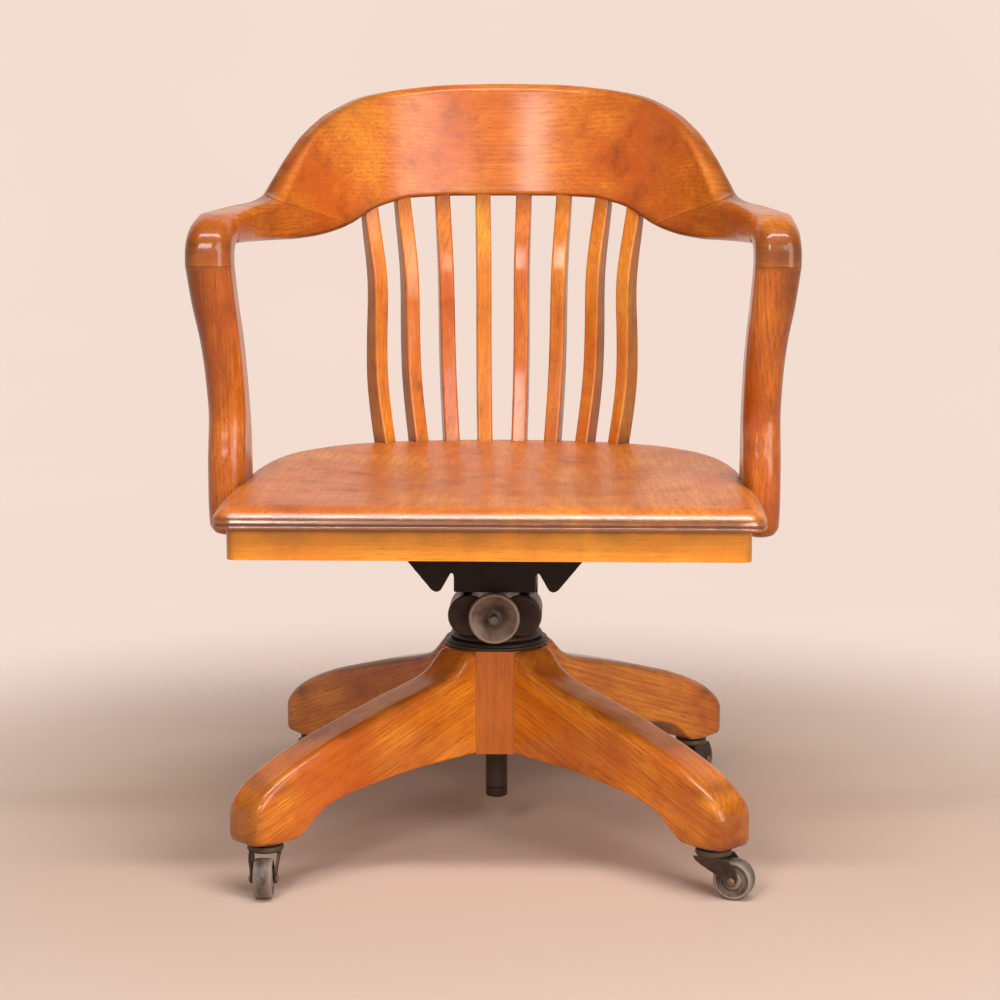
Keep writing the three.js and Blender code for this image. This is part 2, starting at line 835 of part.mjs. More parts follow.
// Seat frame: a straight front rail, two side rails and a bowed back rail.
const apronBottom = seatUnder - fit - apronHeight;
const apronFront = -seatFront + apronSetback;
const apronHalfWidth = seatHalfWidth - apronSideInset;
const apronSplitShare = 0.58;
const apronPastShare = 0.72; // where a side rail is cut from runs to
const apronSideShares = [0.04, 0.33, 0.45, apronSplitShare];
const apronBackShares = [apronSplitShare, 0.658, 0.735, 0.796, 0.849, 0.903, 0.941, 0.974, 0.993];

function apronPoint(back) {
  const outline = seatPlanShares.slice(5).map(([across, place]) => [place, across]);
  const across = Math.min(readShares(outline, back), apronHalfWidth / seatHalfWidth);
  const narrow = readShares([[0.33, 0], [0.6, 1]], back);
  return [
    across * (seatHalfWidth - narrow * apronSideInset),
    mix(-seatFront, seatBack - apronSideInset, back),
  ];
}

// A rail along plan points, apronThickness deep toward the inside.
function railGeometry(points) {
  const rings = points.map(([x, y], i) => {
    const before = points[Math.max(i - 1, 0)];
    const after = points[Math.min(i + 1, points.length - 1)];
    const along = new THREE.Vector2(after[0] - before[0], after[1] - before[1]).normalize();
    const inX = x - along.y * apronThickness;
    const inY = y + along.x * apronThickness;
    const top = seatUnder - fit;
    return [
      new THREE.Vector3(x, y, apronBottom),
      new THREE.Vector3(inX, inY, apronBottom),
      new THREE.Vector3(inX, inY, top),
      new THREE.Vector3(x, y, top),
    ];
  });
  return loft(rings);
}

// The front rail's ends, rounded in plan at the front corners.
function apronFrontOutline() {
  const corner = cornerShares.map((share) => {
    const angle = share * Math.PI / 2;
    return [
      apronHalfWidth - apronCornerRound * (1 - Math.sin(angle)),
      apronFront + apronCornerRound * (1 - Math.cos(angle)),
    ];
  });
  const half = [...corner, [apronHalfWidth, apronFront + apronThickness]];
  return [...half, ...mirrored(half)];
}

add('apron_front', slab(apronFrontOutline(), apronBottom, seatUnder - fit), oak);
const sideStart = apronFront + apronThickness + fit;
const rightRail = apronSideShares.map(apronPoint);
rightRail[0] = [apronHalfWidth, sideStart];
const splitPoint = rightRail[rightRail.length - 1];
const backRight = apronBackShares.map(apronPoint);
const backRail = [
  ...backRight,
  [0, seatBack - apronSideInset],
  ...backRight.map(([x, y]) => [-x, y]).reverse(),
];
// The joint faces of the side rails and the back rail lie apart by the fit.
backRail[0] = [splitPoint[0], splitPoint[1] + fit];
backRail[backRail.length - 1] = [-splitPoint[0], splitPoint[1] + fit];
const railCut = block(
  [-seatHalfWidth, sideStart - overrun, apronBottom - overrun],
  [seatHalfWidth, splitPoint[1] + fit, seatUnder + overrun],
);
add('apron_back', shape(cutFrom(solid(railGeometry(backRail)), railCut)), oak);
const behindSplit = block(
  [-seatHalfWidth, splitPoint[1], apronBottom - overrun],
  [seatHalfWidth, seatBack + overrun, seatUnder + overrun],
);
const frontOfSides = block(
  [-seatHalfWidth, -seatFront - overrun, apronBottom - overrun],
  [seatHalfWidth, sideStart, seatUnder + overrun],
);
const railPast = rightRail.concat([apronPoint(apronPastShare)]);
const railBefore = [[apronHalfWidth, apronFront]].concat(railPast);
const rightSide = shape(cutFrom(solid(railGeometry(railBefore)), behindSplit, frontOfSides));
add('apron_right', rightSide, oak);
add('apron_left', outward(rightSide.clone().scale(-1, 1, 1)), oak);

// Bow of the crest and arms on its right half, from the middle of the back to an arm's front end.
// Columns: plan place across and forward, thickness from crest to arm, top, bottom and lean, as shares.
const bowShares = [
  [0, 0, 0, 1, 1, 1],
  [0.179, 0.014, 0, 0.992, 0.998, 1],
  [0.362, 0.056, 0, 0.955, 0.95, 0.95],
  [0.472, 0.098, 0, 0.91, 0.79, 0.88],
  [0.534, 0.132, 0.02, 0.87, 0.62, 0.82],
  [0.61, 0.179, 0.05, 0.79, 0.33, 0.7],
  [0.672, 0.23, 0.07, 0.7, 0.17, 0.58],
  [0.731, 0.283, 0.1, 0.585, 0.07, 0.46],
  [0.779, 0.333, 0.13, 0.445, 0.025, 0.34],
  [0.824, 0.395, 0.18, 0.28, 0, 0.22],
  [0.862, 0.462, 0.25, 0.125, 0, 0.12],
  [0.903, 0.549, 0.36, 0.085, 0, 0.04],
  [0.938, 0.65, 0.5, 0.065, 0, 0],
  [0.976, 0.818, 0.8, 0.03, 0, 0],
  [0.993, 0.93, 1, 0.012, 0, 0],
  [1, 1, 1, 0, 0, 0],
];
// The rounded front end: how far along the end, its width, and how far its top has dropped.
const armEndShares = [
  [0.5, 0.87, 0.18],
  [0.85, 0.58, 0.45],
  [1, 0.24, 0.7],
];
const crestTopRound = 9;
const bowBottomRound = 6;

// The ring of one bow section, set square to the plan curve and leaning outward above the arm.
function bowRing(x, y, outX, outY, halfWidth, bottom, top, lean) {
  const section = uprightSection(halfWidth, bottom, top, bowBottomRound, crestTopRound);
  return section.map(([out, height]) => {
    const shift = out + lean * (height - armBottom);
    return new THREE.Vector3(x + outX * shift, y + outY * shift, height);
  });
}

function bowStations() {
  const depth = crestBack + armFront;
  const points = bowShares.map(([across, forward]) => [across * armHalfWidth, crestBack - forward * depth]);
  const right = bowShares.map(([, , thick, top, bottom, lean], i) => {
    const [x, y] = points[i];
    const before = i === 0 ? [-points[1][0], points[1][1]] : points[i - 1];
    const after = i === points.length - 1 ? [x, y - armWidth] : points[i + 1];
    const along = new THREE.Vector2(after[0] - before[0], after[1] - before[1]).normalize();
    return {
      x,
      y,
      outX: -along.y,
      outY: along.x,
      halfWidth: mix(crestThickness, armWidth, thick) / 2,
      top: mix(armTop, crestTop, top),
      bottom: mix(armBottom, crestBottom, bottom),
      lean: lean * crestLean,
    };
  });
  const end = right[right.length - 1];
  armEndShares.forEach(([along, width, drop]) => {
    right.push({
      ...end,
      y: end.y - along * armEndRound,
      halfWidth: end.halfWidth * width,
      top: mix(armTop, armBottom, drop),
      bottom: armBottom,
    });
  });
  return right;
}

function bowGeometry() {
  const right = bowStations();
  const rings = right.map((s) => bowRing(s.x, s.y, s.outX, s.outY, s.halfWidth, s.bottom, s.top, s.lean));
  const flip = (point) => new THREE.Vector3(-point.x, point.y, point.z);
  const left = rings.slice(1).map((ring) => ring.map(flip));
  return loft([...left.reverse(), ...rings]);
}

// Scarf joint between crest and arm: a plane that falls toward the middle of the back.
const scarfOuterShare = 0.862;
const scarfInnerShare = 0.6;

function belowScarf(side, gap) {
  const outer = [scarfOuterShare * armHalfWidth, armTop + (crestTop - armTop) * 0.12];
  const inner = [scarfInnerShare * armHalfWidth, mix(armBottom, crestBottom, 0.33)];
  const slope = (outer[1] - inner[1]) / (outer[0] - inner[0]);
  const far = armHalfWidth + armWidth;
  const near = inner[0] - overrun;
  const outline = [
    [near, armBottom - crestThickness * 2],
    [far, armBottom - crestThickness * 2],
    [far, crestTop],
    [outer[0], crestTop],
    [outer[0], outer[1] + gap],
    [near, inner[1] - slope * overrun + gap],
  ];
  return uprightXZ(side < 0 ? mirrored(outline) : outline, -armFront - armWidth * 2, crestBack + armWidth);
}

// Knuckle under an arm's end, with the section of the post that meets it.
function knuckleGeometry(side) {
  const levels = [
    [armJoint, 1],
    [mix(armJoint, armBottom, 0.6), 1],
    [armBottom + bowBottomRound, 1],
    [mix(armBottom, armTop, 0.5), 0.8],
  ];
  const rings = levels.map(([height, narrow]) => postRing(side, 1, 0, height, narrow));
  return loft(rings);
}

// Arm posts: share of the height, place across, forward, thickness and depth.
const postShares = [
  [0, 0.02, 0, 0.42, 0.62],
  [0.012, 0.02, 0, 0.72, 0.86],
  [0.045, 0.01, 0, 0.96, 1],
  [0.15, 0, 0, 1, 1],
  [0.27, 0, 0.03, 1, 0.98],
  [0.45, -0.04, 0.22, 1, 0.85],
  [0.6, 0.03, 0.42, 1.02, 0.78],
  [0.72, 0.22, 0.6, 1.06, 0.75],
  [0.86, 0.66, 0.82, 1.14, 0.74],
  [1, 1, 1, 1.2, 0.72],
];
const postFoot = apronBottom + 5 * fit;
const postInner = apronHalfWidth + fit;
const postFrontRound = 16;
const postBackRound = 12;

// One ring of a post. The last shares carry it on into the knuckle above the joint.
function postRing(side, share, grow, height, narrow) {
  const column = (k) => readShares(postShares.map((row) => [row[0], row[k]]), share);
  const across = column(1);
  const forward = column(2);
  const thick = column(3) * postThicknessFoot * narrow;
  const deep = column(4) * postDepthFoot * narrow;
  const footX = postInner + postThicknessFoot / 2;
  const x = mix(footX, armHalfWidth, across);
  const y = mix(postFootY, postTopY, forward);
  const inner = share < 0.3 ? Math.max(x - thick / 2, postInner) : x - thick / 2;
  const outer = x + thick / 2;
  const half = deep / 2 + grow;
  const section = uprightSection((outer - inner) / 2 + grow, -half, half, postFrontRound, postBackRound);
  return section.map(([u, v]) => new THREE.Vector3(side * ((inner + outer) / 2 + u), y + v, height));
}

function postGeometry(side, grow) {
  const rings = postShares.map(([share]) => {
    const height = mix(postFoot, armJoint - fit, share);
    const end = share === 0 ? -grow : 0;
    return postRing(side, share, grow, height + end, 1);
  });
  return loft(rings);
}

// Slats: eight bent bars. Places across as shares of the half width and turns toward the middle as
// shares of a right angle, each at the top and at the foot.
const slatPlaceShares = [
  [0.082, 0.069],
  [0.242, 0.2014],
  [0.3997, 0.3297],
  [0.524, 0.461],
];
const slatTurnShares = [
  [0.051, 0.063],
  [0.079, 0.159],
  [0.2, 0.382],
  [0.256, 0.573],
];
// Height, bend forward as a share of the bow, and depth as a share of the thickness.
const slatShares = [
  [0, 0, 1],
  [0.07, -0.26, 1],
  [0.15, -0.54, 1],
  [0.22, -0.72, 1],
  [0.3, -0.78, 1],
  [0.4, -0.52, 1],
  [0.5, -0.04, 1],
  [0.6, 0.6, 1],
  [0.7, 1, 0.99],
  [0.78, 0.9, 0.97],
  [0.86, 0.58, 0.92],
  [1, 0, 0.74],
];
const slatFootInset = 22;
const slatRound = 3;

// The bow's place and outward direction where it passes a place across.
function bowAt(x) {
  const stations = bowStations();
  const next = stations.findIndex((s) => s.x >= x);
  const [low, high] = [stations[next - 1], stations[next]];
  const share = (x - low.x) / (high.x - low.x);
  return {
    y: mix(low.y, high.y, share),
    bottom: mix(low.bottom, high.bottom, share),
    lean: mix(low.lean, high.lean, share),
    turn: mix(Math.atan2(low.outX, low.outY), Math.atan2(high.outX, high.outY), share),
  };
}

// How far back the seat's rim is at a place across.
function rimAt(x) {
  const half = seatPlanShares.filter(([, back]) => back > apronSideShares[1]).reverse();
  return mix(-seatFront, seatBack, readShares(half, x / seatHalfWidth));
}

const slats = [-1, 1].flatMap((side) => slatPlaceShares.map((places, order) => ({ side, places, order })));

function slatGeometry({ side, places, order }, grow) {
  const [top, foot] = places.map((share) => share * armHalfWidth);
  const [topTurn, footTurn] = slatTurnShares[order].map((share) => share * Math.PI / 2);
  const above = bowAt(top);
  const footY = rimAt(foot) - slatFootInset;
  const footZ = slabTop(foot, footY, 0) - tenon - grow;
  const topZ = above.bottom + tenon + grow;
  const topLean = above.lean * (above.bottom - armBottom);
  const topX = top + topLean * Math.sin(above.turn);
  const topY = above.y + topLean * Math.cos(above.turn);
  const rings = slatShares.map(([share, bend, depth]) => {
    const turn = mix(footTurn, topTurn, share);
    const bow = bend * slatBow;
    const x = mix(foot, topX, share) - bow * Math.sin(turn);
    const y = mix(footY, topY, share) - bow * Math.cos(turn);
    const half = slatThickness * depth / 2 + grow;
    const section = uprightSection(slatWidth / 2 + grow, -half, half, slatRound, slatRound);
    return section.map(([u, v]) => new THREE.Vector3(
      side * (x + u * Math.cos(turn) + v * Math.sin(turn)),
      y - u * Math.sin(turn) + v * Math.cos(turn),
      mix(footZ, topZ, share),
    ));
  });
  return loft(rings);
}

add('seat_slab', seatSlabBody(), seatOak);

const bow = solid(bowGeometry());
const crestBody = cutFrom(
  bow,
  belowScarf(-1, fit),
  belowScarf(1, fit),
  ...slats.map((slat) => slatGeometry(slat, fit)),
);
add('crest_rail', shape(crestBody), oak);

[['left', -1], ['right', 1]].forEach(([name, side]) => {
  const arm = bow.intersect(solid(belowScarf(side, 0))).add(solid(knuckleGeometry(side)));
  add('arm_' + name, shape(arm), oak);
  add('arm_post_' + name, postGeometry(side, 0), oak);
  slats.filter((slat) => slat.side === side).forEach((slat) => {
    add('slat_' + name + '_' + (slat.order + 1), slatGeometry(slat, 0), oak);
  });
});

// Casters: a socket plate in the leg, a swivelling fork, an axle and a wheel.
const casterHeadings = { front_left: -88, front_right: -20, rear_right: 60, rear_left: 120 };
const wheelSides = 24;
// One side of the wheel, from the tread to the bore: radius and half width as shares.
const wheelShares = [
  [1, 0.6],
  [0.965, 0.92],
  [0.86, 1],
  [0.74, 0.8],
  [0.5, 0.84],
  [0.34, 1],
];

function wheelGeometry() {
  const rimRadius = wheelRadius / Math.cos(Math.PI / wheelSides);
  const half = wheelWidth / 2;
  const bore = axleRadius + running;
  const side = wheelShares.map(([out, across]) => [rimRadius * out, half * across]);
  side.push([bore, half]);
  const profile = [...side, ...side.map(([radius, z]) => [radius, -z]).reverse()];
  const geometry = lathe(profile.reverse(), wheelSides);
  // A flat of the tread faces the floor.
  geometry.rotateZ(Math.PI / wheelSides);
  geometry.rotateX(Math.PI / 2);
  return moved(outward(geometry), trail, 0, wheelRadius);
}

function axleGeometry() {
  const half = forkGap + forkPlate;
  const reach = half + axleHeadLength / 2;
  const pin = barAlong('y', axleRadius, -reach, reach, screwSides);
  const heads = [-1, 1].map((side) => {
    const ends = [side * (half + fit), side * (half + fit + axleHeadLength)].sort((a, b) => a - b);
    return barAlong('y', axleHeadRadius, ...ends, screwSides);
  });
  return moved(shape(join(pin, ...heads)), trail, 0, wheelRadius);
}

// A fork cheek from the crown down: height from crown to axle, back and front edge from the stem to the
// axle, and how much of the spread is left, as shares.
const forkCheekShares = [
  [-0.02, -0.7, 0.78, 1],
  [0.16, -0.62, 0.98, 0.9],
  [0.42, -0.3, 1.16, 0.4],
  [0.7, 0.22, 1.26, 0.1],
  [1, 0.58, 1.26, 0],
  [1.2, 0.84, 1.12, 0],
];

function forkGeometry() {
  const crownTop = casterHeight - socketThickness - running;
  const crownBottom = crownTop - crownThickness;
  const crownRadius = socketRadius - ringBead / 2;
  const plates = [-1, 1].map((side) => loft(forkCheekShares.map(([down, back, front, spread]) => {
    const height = mix(crownBottom, wheelRadius, down);
    const inner = side * (forkGap + spread * forkSpread);
    const outer = side * (forkGap + spread * forkSpread + forkPlate);
    return [[back, inner], [front, inner], [front, outer], [back, outer]].map(
      ([along, y]) => new THREE.Vector3(along * trail, y, height),
    );
  })));
  const crown = bar(crownRadius, crownBottom, crownTop, boreSides);
  const stem = bar(stemRadius, crownBottom + fit, casterHeight + stemLength, screwSides);
  const hole = moved(
    barAlong('y', axleRadius + fit, -socketRadius - overrun, socketRadius + overrun, screwSides),
    trail,
    0,
    wheelRadius,
  );
  return shape(cutFrom(join(crown, stem, ...plates), hole));
}

function socketGeometry() {
  const inner = stemRadius + running;
  return lathe([
    [inner, casterHeight - socketThickness],
    [socketRadius - ringBead, casterHeight - socketThickness],
    [socketRadius, casterHeight - socketThickness / 2],
    [socketRadius, casterHeight],
    [inner + socketWall, casterHeight],
    [inner + socketWall, casterHeight + stemLength],
    [inner, casterHeight + stemLength],
  ], boreSides);
}

quarterTurns.forEach(([corner, degrees]) => {
  const angle = THREE.MathUtils.degToRad(degrees);
  const caster = new THREE.Group();
  caster.position.set(casterRadius * Math.cos(angle), casterRadius * Math.sin(angle), 0);
  caster.rotation.z = THREE.MathUtils.degToRad(casterHeadings[corner]);
  chair.add(caster);
  add('caster_socket_' + corner, socketGeometry(), casterSteel, caster);
  add('caster_fork_' + corner, forkGeometry(), casterSteel, caster);
  add('caster_axle_' + corner, axleGeometry(), casterSteel, caster);
  add('caster_wheel_' + corner, wheelGeometry(), wheelRubber, caster);
});

export default chair;
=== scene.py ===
import math

import bmesh
import bpy
import numpy as np
from mathutils import Matrix, Vector


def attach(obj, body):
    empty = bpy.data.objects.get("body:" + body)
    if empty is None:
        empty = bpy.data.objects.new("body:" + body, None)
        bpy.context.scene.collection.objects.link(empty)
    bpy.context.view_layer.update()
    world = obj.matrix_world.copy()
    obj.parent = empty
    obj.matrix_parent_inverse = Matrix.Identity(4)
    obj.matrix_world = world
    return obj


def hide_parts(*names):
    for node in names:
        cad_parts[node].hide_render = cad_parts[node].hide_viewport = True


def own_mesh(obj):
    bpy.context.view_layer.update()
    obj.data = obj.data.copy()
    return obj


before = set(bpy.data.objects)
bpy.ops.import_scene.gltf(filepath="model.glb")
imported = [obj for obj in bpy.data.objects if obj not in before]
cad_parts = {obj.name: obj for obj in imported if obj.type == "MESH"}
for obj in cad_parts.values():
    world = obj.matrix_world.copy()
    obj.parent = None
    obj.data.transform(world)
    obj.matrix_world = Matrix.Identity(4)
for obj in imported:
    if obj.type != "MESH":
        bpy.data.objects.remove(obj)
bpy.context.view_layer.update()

# Studio: a pale floor that sweeps up into the backdrop, three soft boxes at the front and one overhead, and a
# long lens a little above seat height, turned two degrees to the chair's left. It is set up in metres, while
# every size of the chair itself is in millimetres.
lens_pixels, picture_pixels, sensor_mm = 2252, 1000, 36
eye_distance, eye_height, aside_pixels = 2.427, 0.715, 3.5
eye_turn, eye_pitch = math.radians(2), math.radians(8.09)
camera_data = bpy.data.cameras.new("camera")
camera_data.sensor_width = sensor_mm
camera_data.lens = lens_pixels / picture_pixels * sensor_mm
camera = bpy.data.objects.new("camera", camera_data)
bpy.context.scene.collection.objects.link(camera)
camera.matrix_world = (
    Matrix.Translation((eye_distance * math.sin(eye_turn), -eye_distance * math.cos(eye_turn), eye_height))
    @ Matrix.Rotation(eye_turn - math.atan(aside_pixels / lens_pixels), 4, "Z")
    @ Matrix.Rotation(math.pi / 2 - eye_pitch, 4, "X")
)
bpy.context.scene.camera = camera
bpy.context.scene.view_settings.view_transform = "Standard"


def wire(tree, kind, inputs=None, **settings):
    """A shader node with its settings, its sockets either set or joined to another node's output."""
    node = tree.nodes.new(kind)
    for key, value in settings.items():
        setattr(node, key, value)
    for key, value in (inputs or {}).items():
        if isinstance(value, bpy.types.NodeSocket):
            tree.links.new(value, node.inputs[key])
        else:
            node.inputs[key].default_value = value
    return node


def number(tree, operation, first, second):
    return wire(tree, "ShaderNodeMath", {0: first, 1: second}, operation=operation).outputs[0]


def spread(tree, value, low, high, to_low=0.0, to_high=1.0, curve="LINEAR"):
    """A number that goes from to_low to to_high while the value goes from low to high."""
    sockets = {"Value": value, "From Min": low, "From Max": high, "To Min": to_low, "To Max": to_high}
    return wire(tree, "ShaderNodeMapRange", sockets, interpolation_type=curve).outputs["Result"]


def noise(tree, place, scale, detail=2.0, rough=0.5):
    sockets = {"Vector": place, "Scale": scale, "Detail": detail, "Roughness": rough}
    return wire(tree, "ShaderNodeTexNoise", sockets).outputs["Fac"]


def mixed(tree, share, first, second):
    return wire(tree, "ShaderNodeMix", {0: share, 6: first, 7: second}, data_type="RGBA").outputs[2]


def seen(tree, mirrored=1.0):
    """1 where the lens sees the surface, straight or mirrored, and 0 where it only gives light."""
    path = wire(tree, "ShaderNodeLightPath").outputs
    glossy = number(tree, "MULTIPLY", path["Is Glossy Ray"], mirrored)
    straight = number(tree, "MAXIMUM", path["Is Camera Ray"], path["Is Transmission Ray"])
    return number(tree, "MAXIMUM", straight, glossy)


paper_tones = (0.87, 0.69, 0.595, 1), (0.92, 0.755, 0.665, 1)
paper_in_shade, shade_share, shade_from, shade_to = (0.50, 0.34, 0.255, 1), 0.55, 0.35, 1.3


def studio_paper():
    """Pale warm paper. Far from the chair it shows its own colour, near it the lamps and shadows do."""
    material = bpy.data.materials.new("studio_paper")
    material.use_nodes = True
    tree = material.node_tree
    tree.nodes.clear()
    place = wire(tree, "ShaderNodeTexCoord").outputs["Object"]
    tone = wire(tree, "ShaderNodeValToRGB", {"Fac": noise(tree, place, 0.9)})
    for stop, colour in zip(tone.color_ramp.elements, paper_tones):
        stop.color = colour
    shaded = mixed(tree, shade_share, tone.outputs["Color"], paper_in_shade)
    near = wire(tree, "ShaderNodeBsdfPrincipled", {"Base Color": shaded, "Roughness": 0.9,
                                                   "Specular IOR Level": 0.1})
    far = wire(tree, "ShaderNodeEmission", {"Color": tone.outputs["Color"]})
    distance = wire(tree, "ShaderNodeVectorMath", {0: place}, operation="LENGTH").outputs["Value"]
    fade = spread(tree, distance, shade_from, shade_to, curve="SMOOTHSTEP")
    share = number(tree, "MULTIPLY", fade, seen(tree))
    both = wire(tree, "ShaderNodeMixShader", {0: share, 1: near.outputs["BSDF"], 2: far.outputs["Emission"]})
    wire(tree, "ShaderNodeOutputMaterial", {"Surface": both.outputs["Shader"]})
    return material


sweep_start, sweep_radius, wall_height, floor_front, floor_half = 3.2, 1.2, 6.0, -7.0, 8.0
sweep_steps = 16
sweep = [(floor_front, 0.0), (sweep_start, 0.0)]
for step in range(1, sweep_steps + 1):
    bend = step / sweep_steps * math.pi / 2
    sweep.append((sweep_start + sweep_radius * math.sin(bend), sweep_radius * (1 - math.cos(bend))))
sweep.append((sweep_start + sweep_radius, wall_height))
sweep_mesh = bpy.data.meshes.new("studio_floor")
sweep_mesh.from_pydata(
    [(side * floor_half, y, z) for y, z in sweep for side in (-1, 1)],
    [],
    [(2 * i, 2 * i + 1, 2 * i + 3, 2 * i + 2) for i in range(len(sweep) - 1)],
)
sweep_mesh.polygons.foreach_set("use_smooth", [True] * len(sweep_mesh.polygons))
sweep_mesh.materials.append(studio_paper())
studio_floor = bpy.data.objects.new("studio_floor", sweep_mesh)
bpy.context.scene.collection.objects.link(studio_floor)

warm_light = (1.0, 0.96, 0.91)
soft_boxes = {
    # place, the point it is aimed at, width and height, watts
    "front": ((-0.75, -2.55, 1.65), (0, 0, 0.5), (0.5, 0.75), 20),
    "right": ((1.75, -2.2, 1.3), (0, 0, 0.45), (1.35, 2.0), 47),
    "near": ((0.8, -2.5, 1.45), (0, 0, 0.45), (0.4, 0.7), 7),
    "top": ((0.1, -1.0, 2.7), (0, 0, 0.45), (2.4, 0.3), 46),
}
for title, (place, aim, size, watts) in soft_boxes.items():
    light = bpy.data.lights.new("soft_box_" + title, "AREA")
    light.shape = "RECTANGLE"
    light.size, light.size_y = size
    light.energy = watts
    light.color = warm_light
    lamp = bpy.data.objects.new("soft_box_" + title, light)
    lamp.location = place
    lamp.rotation_euler = (Vector(aim) - Vector(place)).to_track_quat("-Z", "Y").to_euler()
    bpy.context.scene.collection.objects.link(lamp)

world = bpy.data.worlds.new("studio_air")
bpy.context.scene.world = world
world.use_nodes = True
air = world.node_tree
dim_air = air.nodes["Background"]
dim_air.inputs["Color"].default_value = (0.95, 0.90, 0.84, 1)
dim_air.inputs["Strength"].default_value = 0.16
far_paper = wire(air, "ShaderNodeBackground", {"Color": (0.895, 0.722, 0.63, 1), "Strength": 1.0})
direction = wire(air, "ShaderNodeSeparateXYZ", {0: wire(air, "ShaderNodeTexCoord").outputs["Generated"]})
horizon = spread(air, direction.outputs["Z"], 0.1, 0.45, 1.0, 0.0, "SMOOTHSTEP")
whole_air = wire(air, "ShaderNodeMixShader", {0: seen(air, horizon), 1: dim_air.outputs["Background"],
                                              2: far_paper.outputs["Background"]})
air.links.new(whole_air.outputs["Shader"], air.nodes["World Output"].inputs["Surface"])

# Hub: an upright oak block with its four corners planed off, bored for the iron lining.
# Solid oak, stained and varnished; the legs are doweled and glued to its sides.
mm = 0.001
hub_flat, hub_face, hub_low, hub_high, hub_bore = 55.86, 41, 100.5, 213.2, 20.3


def fresh_material(name):
    """A new material, its nodes, its shader and the place on the piece that its textures follow."""
    material = bpy.data.materials.new(name)
    material.use_nodes = True
    tree = material.node_tree
    return material, tree, tree.nodes["Principled BSDF"], wire(tree, "ShaderNodeTexCoord").outputs["Object"]


